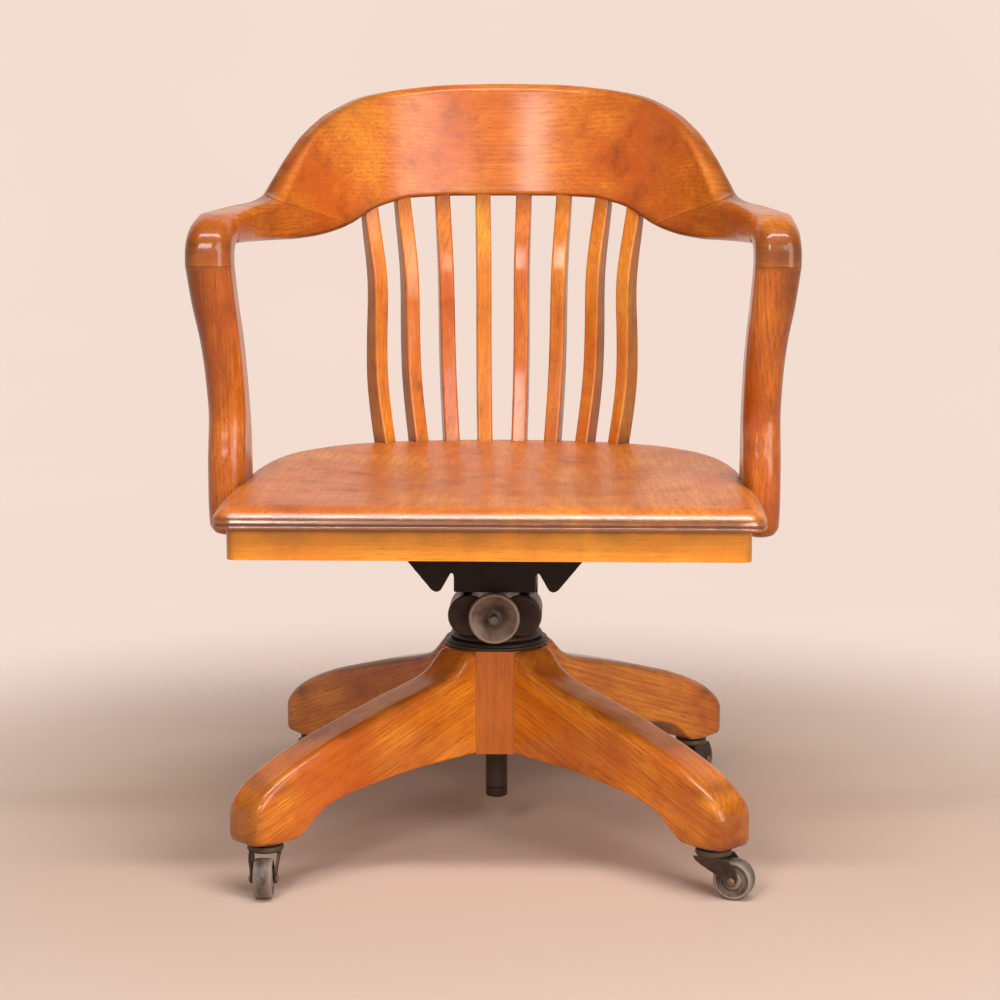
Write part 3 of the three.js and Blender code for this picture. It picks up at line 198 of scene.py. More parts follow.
def oak(name, pale, deep, pith=(0.03, -0.09), ring=3.4, gloss=0.34, coat=0.15, shine=0.22, varnish=0.6):
    """Varnished oak: growth rings round a pith line, pores, flecks, varnish dark with wear, and painted
    shade.
    """
    material, tree, shader, spot = fresh_material(name)
    board = wire(tree, "ShaderNodeAttribute", attribute_name="grain").outputs["Vector"]
    wear_and_shade, rubbed = (wire(tree, "ShaderNodeAttribute", attribute_name=wear).outputs["Fac"]
                       for wear in ("wear_and_shade", "rubbed"))
    edge = wire(tree, "ShaderNodeNewGeometry").outputs["Pointiness"]

    def vector(operation, *values):
        node = wire(tree, "ShaderNodeVectorMath", dict(enumerate(values)), operation=operation)
        return node.outputs["Vector"]

    def along_grain(along, across, detail=2.0, rough=0.5):
        return noise(tree, vector("MULTIPLY", board, (along, across, across)), 1.0, detail, rough)

    def darker(share):
        return (*(d * share for d in deep), 1)

    def lighter(*gains):
        return (*(min(p * gain, 1) for p, gain in zip(pale, gains)), 1)

    def between(share):
        return (*(p * share + d * (1 - share) for p, d in zip(pale, deep)), 1)

    slow = vector("MULTIPLY", board, (2.5, 8.0, 8.0))
    sway = wire(tree, "ShaderNodeTexNoise", {"Vector": slow, "Scale": 1.0, "Detail": 1.0}).outputs["Color"]
    swayed = vector("MULTIPLY_ADD", vector("SUBTRACT", sway, (0.5, 0.5, 0.5)), (0.0, 0.03, 0.03), board)
    rings = wire(tree, "ShaderNodeTexWave", {"Vector": vector("SUBTRACT", swayed, (0.0, *pith)),
                                             "Scale": 2 * math.pi / 20 / (ring * mm), "Distortion": 0.0},
                 wave_type="RINGS", rings_direction="X", wave_profile="SAW").outputs["Fac"]
    streaks = along_grain(5.0, 300.0, 3.0, 0.65)
    bands = along_grain(2.5, 45.0)
    pores = along_grain(70.0, 1100.0, 1.0)
    flecks = along_grain(24.0, 90.0)
    blotch = noise(tree, spot, 9.0, 3.0, 0.6)
    stain = noise(tree, spot, 26.0, 4.0, 0.65)
    early = number(tree, "MULTIPLY", spread(tree, pores, 0.54, 0.66), spread(tree, rings, 0.0, 0.6, 1.0, 0.5))
    smoked = number(tree, "MULTIPLY", spread(tree, stain, 0.52, 0.72, 0.0, 0.5),
                    spread(tree, blotch, 0.42, 0.6))
    worn_and_shaded = number(tree, "MULTIPLY", spread(tree, wear_and_shade, 0.0, 1.0, 0.0, 1.25),
                    spread(tree, stain, 0.25, 0.6, 0.55, 1.0))

    figure = wire(tree, "ShaderNodeValToRGB", {"Fac": rings})
    figure.color_ramp.elements[0].color = between(0.66)
    figure.color_ramp.elements[1].color = between(0.8)
    for place, share in ((0.22, 0.84), (0.5, 1.0), (0.85, 0.94)):
        figure.color_ramp.elements.new(place).color = between(share)
    tone = figure.outputs["Color"]
    for where, start, full, most, colour in (
        # what it follows, from where to where it comes in, how far it covers, its colour
        (streaks, 0.38, 0.70, 0.62, darker(1.0)), (bands, 0.40, 0.70, 0.50, darker(1.1)),
        (early, 0.0, 1.0, 0.62, darker(0.35)), (flecks, 0.54, 0.70, 0.30, lighter(1.25, 1.25, 1.25)),
        (blotch, 0.40, 0.66, 0.72, (deep[0] * 1.25, deep[1], deep[2], 1)),
        (blotch, 0.42, 0.28, 0.22, lighter(1.05, 1.2, 1.3)), (smoked, 0.0, 1.0, 1.0, darker(0.3)),
        # The next colour darkens real wear and painted shade alike, as each piece's mask gives them.
        (worn_and_shaded, 0.0, 1.0, 0.92, darker(0.22)), (edge, 0.51, 0.58, 0.22, lighter(1.15, 1.15, 1.15)),
        # Painted shade: darker in hollows and creases, where the pointiness falls low.
        (edge, 0.485, 0.42, 0.70, darker(0.2)),
    ):
        tone = mixed(tree, spread(tree, where, start, full, 0.0, most), tone, colour)
    tree.links.new(tone, shader.inputs["Base Color"])
    dull = spread(tree, stain, 0.3, 0.7, gloss - 0.04, gloss + 0.14)
    polish = spread(tree, rubbed, 0.0, 1.0, 1.0, 0.3)
    tree.links.new(number(tree, "MULTIPLY", dull, polish), shader.inputs["Roughness"])
    relief = number(tree, "ADD", spread(tree, early, 0.0, 1.0, 1.0, 0.0),
                    spread(tree, streaks, 0.2, 0.8, 0.4, 0.0))
    bump = wire(tree, "ShaderNodeBump", {"Height": relief, "Strength": 0.2, "Distance": 0.0004})
    tree.links.new(bump.outputs["Normal"], shader.inputs["Normal"])
    shader.inputs["Specular IOR Level"].default_value = shine
    shader.inputs["Coat Weight"].default_value = varnish
    shader.inputs["Coat Roughness"].default_value = coat
    return material


def finished_mesh(name, bm, sharp):
    """A mesh with its faces pointing out, smooth but for edges that turn by more than sharp degrees."""
    bmesh.ops.recalc_face_normals(bm, faces=bm.faces)
    mesh = bpy.data.meshes.new(name)
    bm.to_mesh(mesh)
    bm.free()
    mesh.polygons.foreach_set("use_smooth", [True] * len(mesh.polygons))
    mesh.set_sharp_from_angle(angle=math.radians(sharp))
    return mesh


def stand(name, mesh, material, body, node):
    """Puts a piece in the scene on the body that it moves with, in place of its plain solid."""
    piece = bpy.data.objects.new(name, mesh)
    bpy.context.scene.collection.objects.link(piece)
    mesh.materials.append(material)
    weighted = piece.modifiers.new("even_shading", "WEIGHTED_NORMAL")
    weighted.keep_sharp = True
    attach(piece, body)
    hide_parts(node)
    return piece


def oak_piece(name, bm, material, node, along, face, seed, wear_and_shade=None, rubbed=None,
              body="chair"):
    """A piece of oak that keeps, at each point, its place in the board (along the grain, across, through),
    how dark wear and painted shade make it there and how bright it is rubbed."""
    mesh = finished_mesh(name, bm, 42)
    length = Vector(along).normalized()
    width = (Vector(face) - length * length.dot(Vector(face))).normalized()
    axes = np.array([length, width, length.cross(width)])
    points = np.empty(len(mesh.vertices) * 3)
    mesh.vertices.foreach_get("co", points)
    points = points.reshape(-1, 3)
    run = points @ axes.T + np.array([seed * 1.37, 0.0, 0.0])
    layer = mesh.attributes.new("grain", "FLOAT_VECTOR", "POINT")
    layer.data.foreach_set("vector", run.astype(np.float32).ravel())
    for title, wear in (("wear_and_shade", wear_and_shade), ("rubbed", rubbed)):
        if wear is not None:
            worn = np.clip(wear(*(points.T / mm)), 0, 1)
            mesh.attributes.new(title, "FLOAT", "POINT").data.foreach_set("value", worn.astype(np.float32))
    stand(name, mesh, material, body, node)


def softened(bm, width, segments=3, angle=25):
    """Rounds over every edge that turns by more than the angle."""
    edges = [e for e in bm.edges if e.is_manifold and e.calc_face_angle(0) > math.radians(angle)]
    bmesh.ops.bevel(bm, geom=edges, offset=width * mm, segments=segments, profile=0.5, affect="EDGES",
                    clamp_overlap=True)


def circle(radius, steps):
    turns = np.linspace(0, 2 * math.pi, steps, endpoint=False)
    return [(radius * math.cos(turn), radius * math.sin(turn)) for turn in turns]


def prism(outline, low, high, hole=None, hole_steps=48):
    """An outline of (x, y) points raised from low to high, with a round hole through it if one is given."""
    bm = bmesh.new()
    rings = [[bm.verts.new((x * mm, y * mm, z * mm)) for x, y in outline] for z in (low, high)]
    for a, b, c, d in zip(rings[0], rings[0][1:] + rings[0][:1], rings[1][1:] + rings[1][:1], rings[1]):
        bm.faces.new((a, b, c, d))
    if hole is None:
        bm.faces.new(rings[0][::-1])
        bm.faces.new(rings[1])
        return bm
    circles = [[bm.verts.new((x * mm, y * mm, z * mm)) for x, y in circle(hole, hole_steps)]
               for z in (low, high)]
    for k in range(hole_steps):
        bm.faces.new((circles[1][k - 1], circles[1][k], circles[0][k], circles[0][k - 1]))
    for loops in zip(rings, circles):
        edges = [bm.edges.get((loop[i - 1], loop[i])) for loop in loops for i in range(len(loop))]
        bmesh.ops.triangle_fill(bm, use_beauty=True, use_dissolve=False, edges=edges)
    return bm


hub_outline = []
for quarter in range(4):
    for side in (-hub_face / 2, hub_face / 2):
        corner = Matrix.Rotation(quarter * math.pi / 2, 2) @ Vector((hub_flat, side))
        hub_outline.append((corner.x, corner.y))
hub = prism(hub_outline, hub_low, hub_high)
softened(hub, 1.0)
hub_oak = oak("hub_oak", (0.56, 0.145, 0.010), (0.27, 0.050, 0.003), pith=(0.02, -0.06), ring=3.0)
oak_piece("hub_block", hub, hub_oak, "hub_column", (0, 0, 1), (1, 0, 0), 1.0, body="base")

# Legs: four oak legs on the diagonals, band-sawn from plank, their top edges rounded over,
# running out to a thick toe that holds the caster socket. Doweled and glued to the hub.
leg_rows = np.array([
    # from the axis, top, underside, half width
    (54.3, 213.2, 101.0, 25), (62.1, 212.4, 101.0, 25), (70.1, 205.6, 100.8, 25), (80.0, 196.1, 100.5, 25),
    (95.2, 188.1, 100.2, 25), (120.0, 181.3, 99.6, 25), (150.2, 174.2, 98.0, 25), (190.2, 164.0, 94.2, 25),
    (229.9, 152.9, 88.6, 25), (257.1, 145.0, 81.8, 25), (275.3, 138.6, 71.2, 25), (287.0, 134.3, 61.6, 25),
    (298.6, 129.4, 55.1, 25), (315.4, 121.2, 54.5, 25), (330.4, 111.8, 54.5, 25), (340.6, 103.4, 54.6, 24.6),
    (346.0, 97.4, 55.0, 22.9), (349.4, 92.3, 56.4, 19.6), (351.8, 85.8, 59.0, 15.0), (353.0, 78.3, 63.5, 9.5),
])
leg_turns = {"front_left": 225, "front_right": 315, "rear_right": 45, "rear_left": 135}
leg_top_round, leg_low_round, toe_low_round = 10, 3, 7


def through(rows, at, round_over=True):
    """A smooth line through rows of (place, values ...), read at the places asked for."""
    rows = np.asarray(rows, float)
    x, y = rows[:, 0], rows[:, 1:]
    step = np.diff(x)[:, None]
    slope = np.diff(y, axis=0) / step
    tangent = np.zeros_like(y)
    if round_over:
        tangent[1:-1] = (slope[1:] * step[:-1] + slope[:-1] * step[1:]) / (step[1:] + step[:-1])
    else:
        same = slope[1:] * slope[:-1] > 0
        total = np.where(same, slope[1:] + slope[:-1], 1)
        tangent[1:-1] = np.where(same, 2 * slope[1:] * slope[:-1] / total, 0)
    tangent[0], tangent[-1] = slope[0], slope[-1]
    k = np.clip(np.searchsorted(x, at) - 1, 0, len(x) - 2)
    u = ((np.asarray(at) - x[k]) / (x[k + 1] - x[k]))[:, None]
    h = step[k]
    return ((1 + 2 * u) * (1 - u) ** 2 * y[k] + u * (1 - u) ** 2 * h * tangent[k]
            + u * u * (3 - 2 * u) * y[k + 1] + u * u * (u - 1) * h * tangent[k + 1])


def upright(half, low, high, low_round, high_round, steps=6, rows=0):
    """An upright section as (across, height) points, rounded by its own radius at the bottom and the top,
    with rows of further points up its two sides."""
    most = min(half, (high - low) / 2) * 0.98
    r, s = min(low_round, most), min(high_round, most)
    points = []
    for u, v, radius, start in ((half - r, low + r, r, -1), (half - s, high - s, s, 0),
                                (s - half, high - s, s, 1), (r - half, low + r, r, 2)):
        for k in range(steps + 1):
            angle = (start + k / steps) * math.pi / 2
            points.append((u + radius * math.cos(angle), v + radius * math.sin(angle)))
        if start in (-1, 1):
            side, first, last = ((half, low + r, high - s), (-half, high - s, low + r))[start == 1]
            points += [(side, first + (last - first) * k / (rows + 1)) for k in range(1, rows + 1)]
    return points


def skinned(rings):
    """A closed skin over a row of rings with the same number of points."""
    bm = bmesh.new()
    made = [[bm.verts.new([c * mm for c in point]) for point in ring] for ring in rings]
    for a, b in zip(made, made[1:]):
        for i in range(len(a)):
            bm.faces.new((a[i - 1], a[i], b[i], b[i - 1]))
    for ring in (made[0], made[-1]):
        centre = bm.verts.new(sum((v.co for v in ring), Vector()) / len(ring))
        for i in range(len(ring)):
            bm.faces.new((ring[i - 1], ring[i], centre))
    return bm


def rise(value, start, full):
    """0 up to the start, 1 from full on, and evenly between them."""
    return np.clip((value - start) / (full - start), 0, 1)


def hump(value, middle, width):
    return np.exp(-((value - middle) / width) ** 2)


def fading(value, start, length):
    return np.exp(-(value - start) / length)


toe_start, leg_end = leg_rows[-5, 0], leg_rows[-1, 0]
toe_places = leg_end - (leg_end - toe_start) * np.linspace(1, 0, 14) ** 2
leg_places = np.concatenate([np.linspace(leg_rows[0, 0], toe_start, 76), toe_places[1:]])
leg_line = through(leg_rows, leg_places, round_over=False)
leg_oak = oak("leg_oak", (0.93, 0.308, 0.023), (0.40, 0.078, 0.004), pith=(0.08, -0.06), ring=4.2)


def leg_wear_and_shade(x, y, z):
    """Painted shade under the ring, on the tops, rear legs, hub joint and lower edge; wear at the toe where
    shoes knock.
    """
    reach = np.hypot(x, y)
    toe = hump(reach, 352, 12) * 0.5 + hump(reach, 322, 20) * hump(z, 112, 7) * 0.55
    top = np.interp(reach, leg_rows[:, 0], leg_rows[:, 1])
    top_shade = rise(z - top, -9, 0) * rise(reach, 330, 270) * 0.42
    rear_shade = rise(y, 20, 80) * 0.16
    ring = rise(reach, 62, 52) * rise(z, 196, 210)
    return toe + top_shade + rear_shade + ring + fading(reach, 54.3, 2) * 0.8 + fading(z, 54, 4) * 0.5


for order, (corner, degrees) in enumerate(leg_turns.items()):
    rings = []
    for reach, (high, low, half) in zip(leg_places, leg_line):
        soft = leg_low_round + (toe_low_round - leg_low_round) * rise(reach, 318, 338)
        section = upright(half, low, high, soft, leg_top_round, rows=8)
        rings.append([(reach, across, height) for across, height in section])
    leg = skinned(rings)
    corner_turn = Matrix.Rotation(math.radians(degrees), 3, "Z")
    bmesh.ops.rotate(leg, verts=leg.verts, matrix=corner_turn)
    oak_piece("oak_leg_" + corner, leg, leg_oak, "leg_" + corner, corner_turn @ Vector((0.94, 0, -0.34)),
              (0, 0, 1), 2.3 + order * 3.1, leg_wear_and_shade, body="base")

# Ring and lining: a black cast-iron bearing ring screwed on the hub, and the iron tube in its bore
# with a flange below. Old black enamel, rubbed to brown at the edges.
ring_low, ring_high, ring_out, lining_bore = 213.5, 220.3, 57.6, 16.2
lining_low, flange_out, glue_gap = 97.6, 25, 0.3


def iron(name, paint, worn, rough=0.42, metal=0.35, rust=0.0, scale=60.0):
    """Old painted iron: sand-cast skin, paint rubbed through on the edges, and rust where it is asked for."""
    material, tree, shader, spot = fresh_material(name)
    skin = noise(tree, spot, scale * 9, 4.0)
    cloud = noise(tree, spot, scale, 4.0, 0.65)
    edge = wire(tree, "ShaderNodeNewGeometry").outputs["Pointiness"]
    tone = wire(tree, "ShaderNodeValToRGB", {"Fac": cloud})
    half_worn = [p * 0.5 + w * 0.5 for p, w in zip(paint, worn)]
    for stop, start, shade in zip(tone.color_ramp.elements, (0.35, 0.72), (paint, half_worn)):
        stop.position = start
        stop.color = (*shade, 1)
    colour = mixed(tree, spread(tree, edge, 0.51, 0.58), tone.outputs["Color"], (*worn, 1))
    if rust:
        bloom = spread(tree, cloud, 0.62 - 0.2 * rust, 0.7, 0.0, rust)
        colour = mixed(tree, bloom, colour, (0.22, 0.085, 0.035, 1))
    tree.links.new(colour, shader.inputs["Base Color"])
    tree.links.new(spread(tree, cloud, 0.3, 0.7, rough - 0.08, rough + 0.16), shader.inputs["Roughness"])
    bump = wire(tree, "ShaderNodeBump", {"Height": skin, "Strength": 0.3, "Distance": 0.0004})
    tree.links.new(bump.outputs["Normal"], shader.inputs["Normal"])
    shader.inputs["Metallic"].default_value = metal
    shader.inputs["Specular IOR Level"].default_value = 0.22
    return material


def turned(profile, steps=96):
    """A ring of (radius, height) points turned once round Z."""
    bm = bmesh.new()
    rings = []
    for radius, height in profile:
        if radius == 0:
            rings.append([bm.verts.new((0, 0, height * mm))] * steps)
            continue
        rings.append([bm.verts.new((x * mm, y * mm, height * mm)) for x, y in circle(radius, steps)])
    for a, b in zip(rings, rings[1:] + rings[:1]):
        for i in range(steps):
            face = list(dict.fromkeys((a[i - 1], a[i], b[i], b[i - 1])))
            if len(face) > 2:
                bm.faces.new(face)
    return bm


def iron_piece(name, bm, material, body, node, place=None, sharp=35):
    """A piece of iron or steel, made at the axis and moved to its place."""
    if place is not None:
        bmesh.ops.transform(bm, matrix=place, verts=bm.verts)
    return stand(name, finished_mesh(name, bm, sharp), material, body, node)


black_enamel = iron("black_enamel", (0.006, 0.0036, 0.0022), (0.05, 0.035, 0.026), rough=0.36, metal=0.05)
ring_middle = (ring_low + ring_high) / 2
ring = turned([
    (lining_bore, ring_low), (ring_out - 1, ring_low), (ring_out, ring_low + 0.9),
    (ring_out, ring_middle - 0.5), (ring_out - 0.8, ring_middle), (ring_out - 1.8, ring_middle + 0.2),
    (ring_out - 2, ring_high - 1), (ring_out - 3, ring_high), (lining_bore, ring_high),
])
iron_piece("bearing_ring", ring, black_enamel, "base", "hub_ring")
lining = turned([
    (lining_bore, lining_low), (flange_out - 0.6, lining_low), (flange_out, lining_low + 0.6),
    (flange_out, hub_low - glue_gap), (hub_bore - glue_gap, hub_low - glue_gap),
    (hub_bore - glue_gap, hub_high), (lining_bore, hub_high),
])
iron_piece("hub_lining", lining, black_enamel, "base", "hub_sleeve")

# Casters: a pressed socket plate driven up into each toe, a bent steel fork on its stem, a riveted axle
# and a hard composition wheel with turned ridges. Dull plated steel, brown with rust round the axle.
caster_out, caster_trail, wheel_out, wheel_half = 320, 22, 20.5, 9.5
caster_top, socket_thick, socket_out, stem_out, stem_play, stem_up = 54.2, 3, 19.5, 4, 0.4, 33
crown_thick, fork_inside, fork_plate, fork_spread, axle_head, axle_out = 7.4, 10.6, 2.6, 2.4, 4.2, 2.6
caster_headings = {"front_left": -88, "front_right": -20, "rear_right": 60, "rear_left": 120}
dull_steel = iron("dull_steel", (0.012, 0.008, 0.006), (0.12, 0.080, 0.055), metal=0.25, rust=0.3, scale=90.0)
rusty_steel = iron("rusty_steel", (0.10, 0.07, 0.05), (0.26, 0.17, 0.12), rough=0.48, metal=0.55, rust=0.75,
                   scale=120.0)
composition = iron("composition", (0.060, 0.044, 0.036), (0.42, 0.33, 0.275), rough=0.4, metal=0.0,
                   scale=80.0)
cheek_rows = [
    # share of the way from the crown to the axle, back edge, front edge, share of the spread
    (-0.02, -17.2, 17.6, 1), (0.12, -15.2, 20.5, 0.95), (0.3, -10.5, 23.8, 0.7), (0.5, -3.5, 26.4, 0.3),
    (0.72, 5.2, 27.9, 0.1), (0.9, 10.6, 28.2, 0), (1.05, 14.2, 27.3, 0), (1.17, 17.2, 25.4, 0),
    (1.22, 19.6, 23.6, 0),
]
wheel_side = [
    # share of the wheel's radius, share of its half width
    (1.0, 0.0), (0.998, 0.35), (0.985, 0.62), (0.955, 0.84), (0.9, 0.97), (0.84, 1.0), (0.81, 0.97),
    (0.795, 0.86), (0.775, 0.82), (0.755, 0.86), (0.735, 0.83), (0.70, 0.78), (0.62, 0.77), (0.60, 0.83),
    (0.575, 0.83), (0.555, 0.77), (0.5, 0.78), (0.46, 0.9), (0.40, 1.0), (0.3, 1.0), (0.146, 1.0),
]


def joined(bm, part, place=None):
    """Adds another mesh to this one, moved to its place."""
    if place is not None:
        bmesh.ops.transform(part, matrix=place, verts=part.verts)
    mesh = bpy.data.meshes.new("part")
    part.to_mesh(mesh)
    part.free()
    bm.from_mesh(mesh)
    bpy.data.meshes.remove(mesh)


def shifted(x, y, z):
    return Matrix.Translation(Vector((x, y, z)) * mm)


along_y = Matrix.Rotation(-math.pi / 2, 4, "X")
along_x = Matrix.Rotation(math.pi / 2, 4, "Y")
stem_bore, stem_top, plate_low = stem_out + stem_play, caster_top + stem_up, caster_top - socket_thick
crown_high, crown_out = plate_low - stem_play, socket_out - 0.8
crown_low, rivet_start = crown_high - crown_thick, fork_inside + fork_plate
for corner, degrees in leg_turns.items():
    turn = math.radians(degrees)
    stem_place = (shifted(caster_out * math.cos(turn), caster_out * math.sin(turn), 0)
                  @ Matrix.Rotation(math.radians(caster_headings[corner]), 4, "Z"))
    axle_place = stem_place @ shifted(caster_trail, 0, wheel_out) @ along_y
    socket = turned([
        (stem_bore, plate_low), (socket_out - 2.5, plate_low), (socket_out - 1.2, plate_low + 0.5),
        (socket_out, plate_low + 1.6), (socket_out, caster_top - 0.4), (socket_out - 0.4, caster_top),
        (stem_bore + 1.9, caster_top), (stem_bore + 1.9, stem_top), (stem_bore, stem_top),
    ], 64)
    iron_piece("caster_plate_" + corner, socket, dull_steel, "base",
               "caster_socket_" + corner, stem_place)
    fork = turned([
        (0, crown_low), (crown_out - 3, crown_low), (crown_out - 1, crown_low + 0.8),
        (crown_out, crown_low + 2.6), (crown_out - 0.6, crown_high - 0.8), (crown_out - 2.4, crown_high),
        (stem_out, crown_high), (stem_out, stem_top), (0, stem_top),
    ], 64)
    for side in (-1, 1):
        cheek = []
        downs = np.linspace(cheek_rows[0][0], cheek_rows[-1][0], 22)
        for down, (back, front, splay) in zip(downs, through(cheek_rows, downs, round_over=False)):
            height = crown_low + (wheel_out - crown_low) * down
            inside = fork_inside + fork_spread * splay
            section = upright((front - back) / 2, inside, inside + fork_plate, 0.5, 0.9, 3)
            cheek.append([((front + back) / 2 + u, side * v, height) for u, v in section])
        joined(fork, skinned(cheek))
    iron_piece("caster_yoke_" + corner, fork, dull_steel, "caster_" + corner,
               "caster_fork_" + corner, stem_place)
    dome = [(0, -rivet_start - 2.1), (axle_head * 0.6, -rivet_start - 1.8),
            (axle_head * 0.95, -rivet_start - 0.8), (axle_head, -rivet_start - 0.2),
            (axle_out, -rivet_start - 0.2)]
    axle = turned(dome + [(radius, -height) for radius, height in dome[::-1]], 32)
    iron_piece("caster_rivet_" + corner, axle, rusty_steel, "caster_" + corner,
               "caster_axle_" + corner, axle_place)
    half_wheel = [(wheel_out * radius, wheel_half * width) for radius, width in wheel_side]
    wheel = turned(half_wheel + [(radius, -width) for radius, width in half_wheel[:0:-1]])
    iron_piece("caster_tyre_" + corner, wheel, composition, "wheel_" + corner,
               "caster_wheel_" + corner, axle_place)

# Height spindle and its nut: a steel screw of about an inch that stands in the hub, worn bright-brown
# where it shows below, and the flanged nut that turns on the ring and sets the seat's height.
spindle_low, spindle_high, spindle_out = 40.1, 246.0, 12
groove, groove_out = spindle_low + 10.5, spindle_out - 0.7
nut_bore, nut_barrel, nut_flange = spindle_out + 0.3, 15.8, 34
nut_low, nut_seat, nut_high = 178.4, ring_high + 0.3, 227.2
spindle_steel = iron("spindle_steel", (0.010, 0.006, 0.004), (0.06, 0.036, 0.024), rough=0.33, metal=0.2,
                     rust=0.12)
spindle = turned([
    (0, spindle_low), (spindle_out - 1.6, spindle_low), (spindle_out - 0.4, spindle_low + 0.8),
    (spindle_out, spindle_low + 2), (spindle_out, groove), (groove_out, groove + 0.3),
    (groove_out, groove + 0.9), (spindle_out, groove + 1.2), (spindle_out, spindle_high), (0, spindle_high),
])
iron_piece("height_spindle", spindle, spindle_steel, "column", "spindle")
nut = turned([
    (nut_bore, nut_low), (nut_barrel, nut_low), (nut_barrel, nut_seat), (nut_flange - 0.6, nut_seat),
    (nut_flange, nut_seat + 0.6), (nut_flange, nut_high - 1.6), (nut_flange - 0.5, nut_high - 0.5),
    (nut_flange - 1.6, nut_high), (nut_bore + 1.2, nut_high), (nut_bore, nut_high - 1.2),
])
iron_piece("height_nut", nut, spindle_steel, "swivel", "swivel_nut")

# Yoke: a grey-iron casting on the spindle. Its cup covers the nut, two round lobes stand in front,
# and two ears carry the pivot shaft. Brown enamel over a fine sand skin, with soft cast fillets.
cup_low, screw_high, pivot_high = 220.7, 252.7, 299.7
lobe_out, lobe_side, lobe_front, yoke_back, yoke_half, ear_thick = 22.5, 28, 58, 24, 35.5, 12
shaft_out, pivot_boss = 6, 14
cast_enamel = iron("cast_enamel", (0.022, 0.010, 0.006), (0.085, 0.048, 0.032), rough=0.36, metal=0.1)
# A flat outline is drawn in X and Y; these stand it up so that it lies in Y and Z, or in X and Z.
facing_x = Matrix(((0, 0, 1, 0), (1, 0, 0, 0), (0, 1, 0, 0), (0, 0, 0, 1)))
facing_y = Matrix(((1, 0, 0, 0), (0, 0, 1, 0), (0, 1, 0, 0), (0, 0, 0, 1)))


def block(bm, low, high):
    """Adds a box between two of its corners."""
    outline = [(low[0], low[1]), (high[0], low[1]), (high[0], high[1]), (low[0], high[1])]
    joined(bm, prism(outline, low[2], high[2]))


def casting(name, bm, grain, passes=3):
    """One casting from overlapping stock: the skin is made whole and its inner corners run into fillets."""
    raw = finished_mesh(name + "_stock", bm, 35)
    stock = bpy.data.objects.new(name + "_stock", raw)
    bpy.context.scene.collection.objects.link(stock)
    whole = stock.modifiers.new("whole", "REMESH")
    whole.mode = "VOXEL"
    whole.voxel_size = grain * mm
    smooth = stock.modifiers.new("fillets", "SMOOTH")
    smooth.factor, smooth.iterations = 0.5, passes
    ready = stock.evaluated_get(bpy.context.evaluated_depsgraph_get())
    mesh = bpy.data.meshes.new_from_object(ready)
    bpy.data.objects.remove(stock)
    bpy.data.meshes.remove(raw)
    mesh.name = name
    mesh.polygons.foreach_set("use_smooth", [True] * len(mesh.polygons))
    return mesh


cup = turned([
    (0, cup_low + 0.3), (49.8, cup_low + 0.3), (50.4, cup_low + 1.2), (50.2, cup_low + 4),
    (47.6, cup_low + 8), (42, cup_low + 11.6), (38, cup_low + 15), (34, cup_low + 22), (0, cup_low + 22),
])
for side in (-lobe_side, lobe_side):
    lobe = turned([
        (0, -lobe_front + 3), (lobe_out * 0.6, -lobe_front + 1), (lobe_out - 2.2, -lobe_front),
        (lobe_out - 0.4, -lobe_front + 1), (lobe_out, -lobe_front + 3), (lobe_out, 0), (0, 0),
    ], 64)
    joined(cup, lobe, shifted(side, 0, screw_high) @ along_y)
block(cup, (-lobe_side, -lobe_front + 5, cup_low + 8), (lobe_side, yoke_back, screw_high + 11))
for side in (-1, 1):
    arc = [(pivot_boss * math.cos(turn), pivot_high + pivot_boss * math.sin(turn))
           for turn in np.linspace(0, math.pi, 13)]
    ear_low, ear_high = sorted((side * (yoke_half - ear_thick), side * yoke_half))
    ear = prism([(-yoke_back, cup_low + 9), (yoke_back, cup_low + 9)] + arc, ear_low, ear_high)
    joined(cup, ear, facing_x)
stand("yoke_casting", casting("yoke_casting", cup, 1.3, 4), cast_enamel, "column", "yoke")

# Pivot shaft: a steel pin through the yoke's ears and the seat iron's cheeks, with a round head on one side
# and a hexagon nut on the other. Machined steel gone dull and brown.
cheek_out, pin_head, pin_nut_thick, pin_play = 44.1, 10, 6, 0.3
bolt_steel = iron("bolt_steel", (0.07, 0.055, 0.045), (0.2, 0.16, 0.13), rough=0.4, metal=0.75, rust=0.3,
                  scale=90.0)
pin_start, pin_end = cheek_out + pin_play, cheek_out + 6.6
at_pivot = shifted(0, 0, pivot_high) @ along_x


def hex_nut(radius, low, thick, hole):
    nut = prism(circle(radius, 6), low, low + thick, hole=hole + 0.1)
    softened(nut, 0.5, segments=2, angle=40)
    return nut


pin = turned([
    (0, -cheek_out - 6.3), (pin_head - 1.4, -cheek_out - 6.3), (pin_head, -cheek_out - 5),
    (pin_head, -pin_start), (shaft_out, -pin_start), (shaft_out, pin_end - 0.4), (shaft_out - 0.6, pin_end),
    (0, pin_end),
], 64)
iron_piece("pivot_pin", pin, bolt_steel, "column", "pivot_shaft", at_pivot)
pin_nut = hex_nut(10, pin_start, pin_nut_thick, shaft_out)
iron_piece("pivot_pin_nut", pin_nut, bolt_steel, "column", "pivot_nut", at_pivot, 30)

# Tension screw: the dished cast hand knob in front, held by a nut on a long steel rod, sets how hard
# the spring behind the yoke pushes on the seat. The knob is bare brown iron, bright on its rim.
knob_out, knob_back, knob_front, rod_out = 27.3, -58.3, -74.8, 5
knob_bore, rod_front, rod_back, knob_nut_front, knob_nut_thick = rod_out + 0.2, -84, 41, -73.6, 5
at_screw = shifted(0, 0, screw_high)
on_rod = at_screw @ along_y
knob = turned([
    (knob_bore, knob_back), (10, knob_back), (10, knob_back - 4.2), (14, knob_back - 5.2),
    (24.6, knob_back - 6.2), (26.7, knob_back - 7.4), (knob_out, knob_back - 9.2),
    (knob_out, knob_front + 2.2), (knob_out - 0.8, knob_front + 0.6), (knob_out - 2, knob_front),
    (knob_out - 3.2, knob_front + 0.5),
    (21, knob_front + 2.2), (15, knob_front + 5.2), (10.5, knob_front + 8.6), (8.6, knob_front + 11),
    (knob_bore, knob_front + 11.2),
])
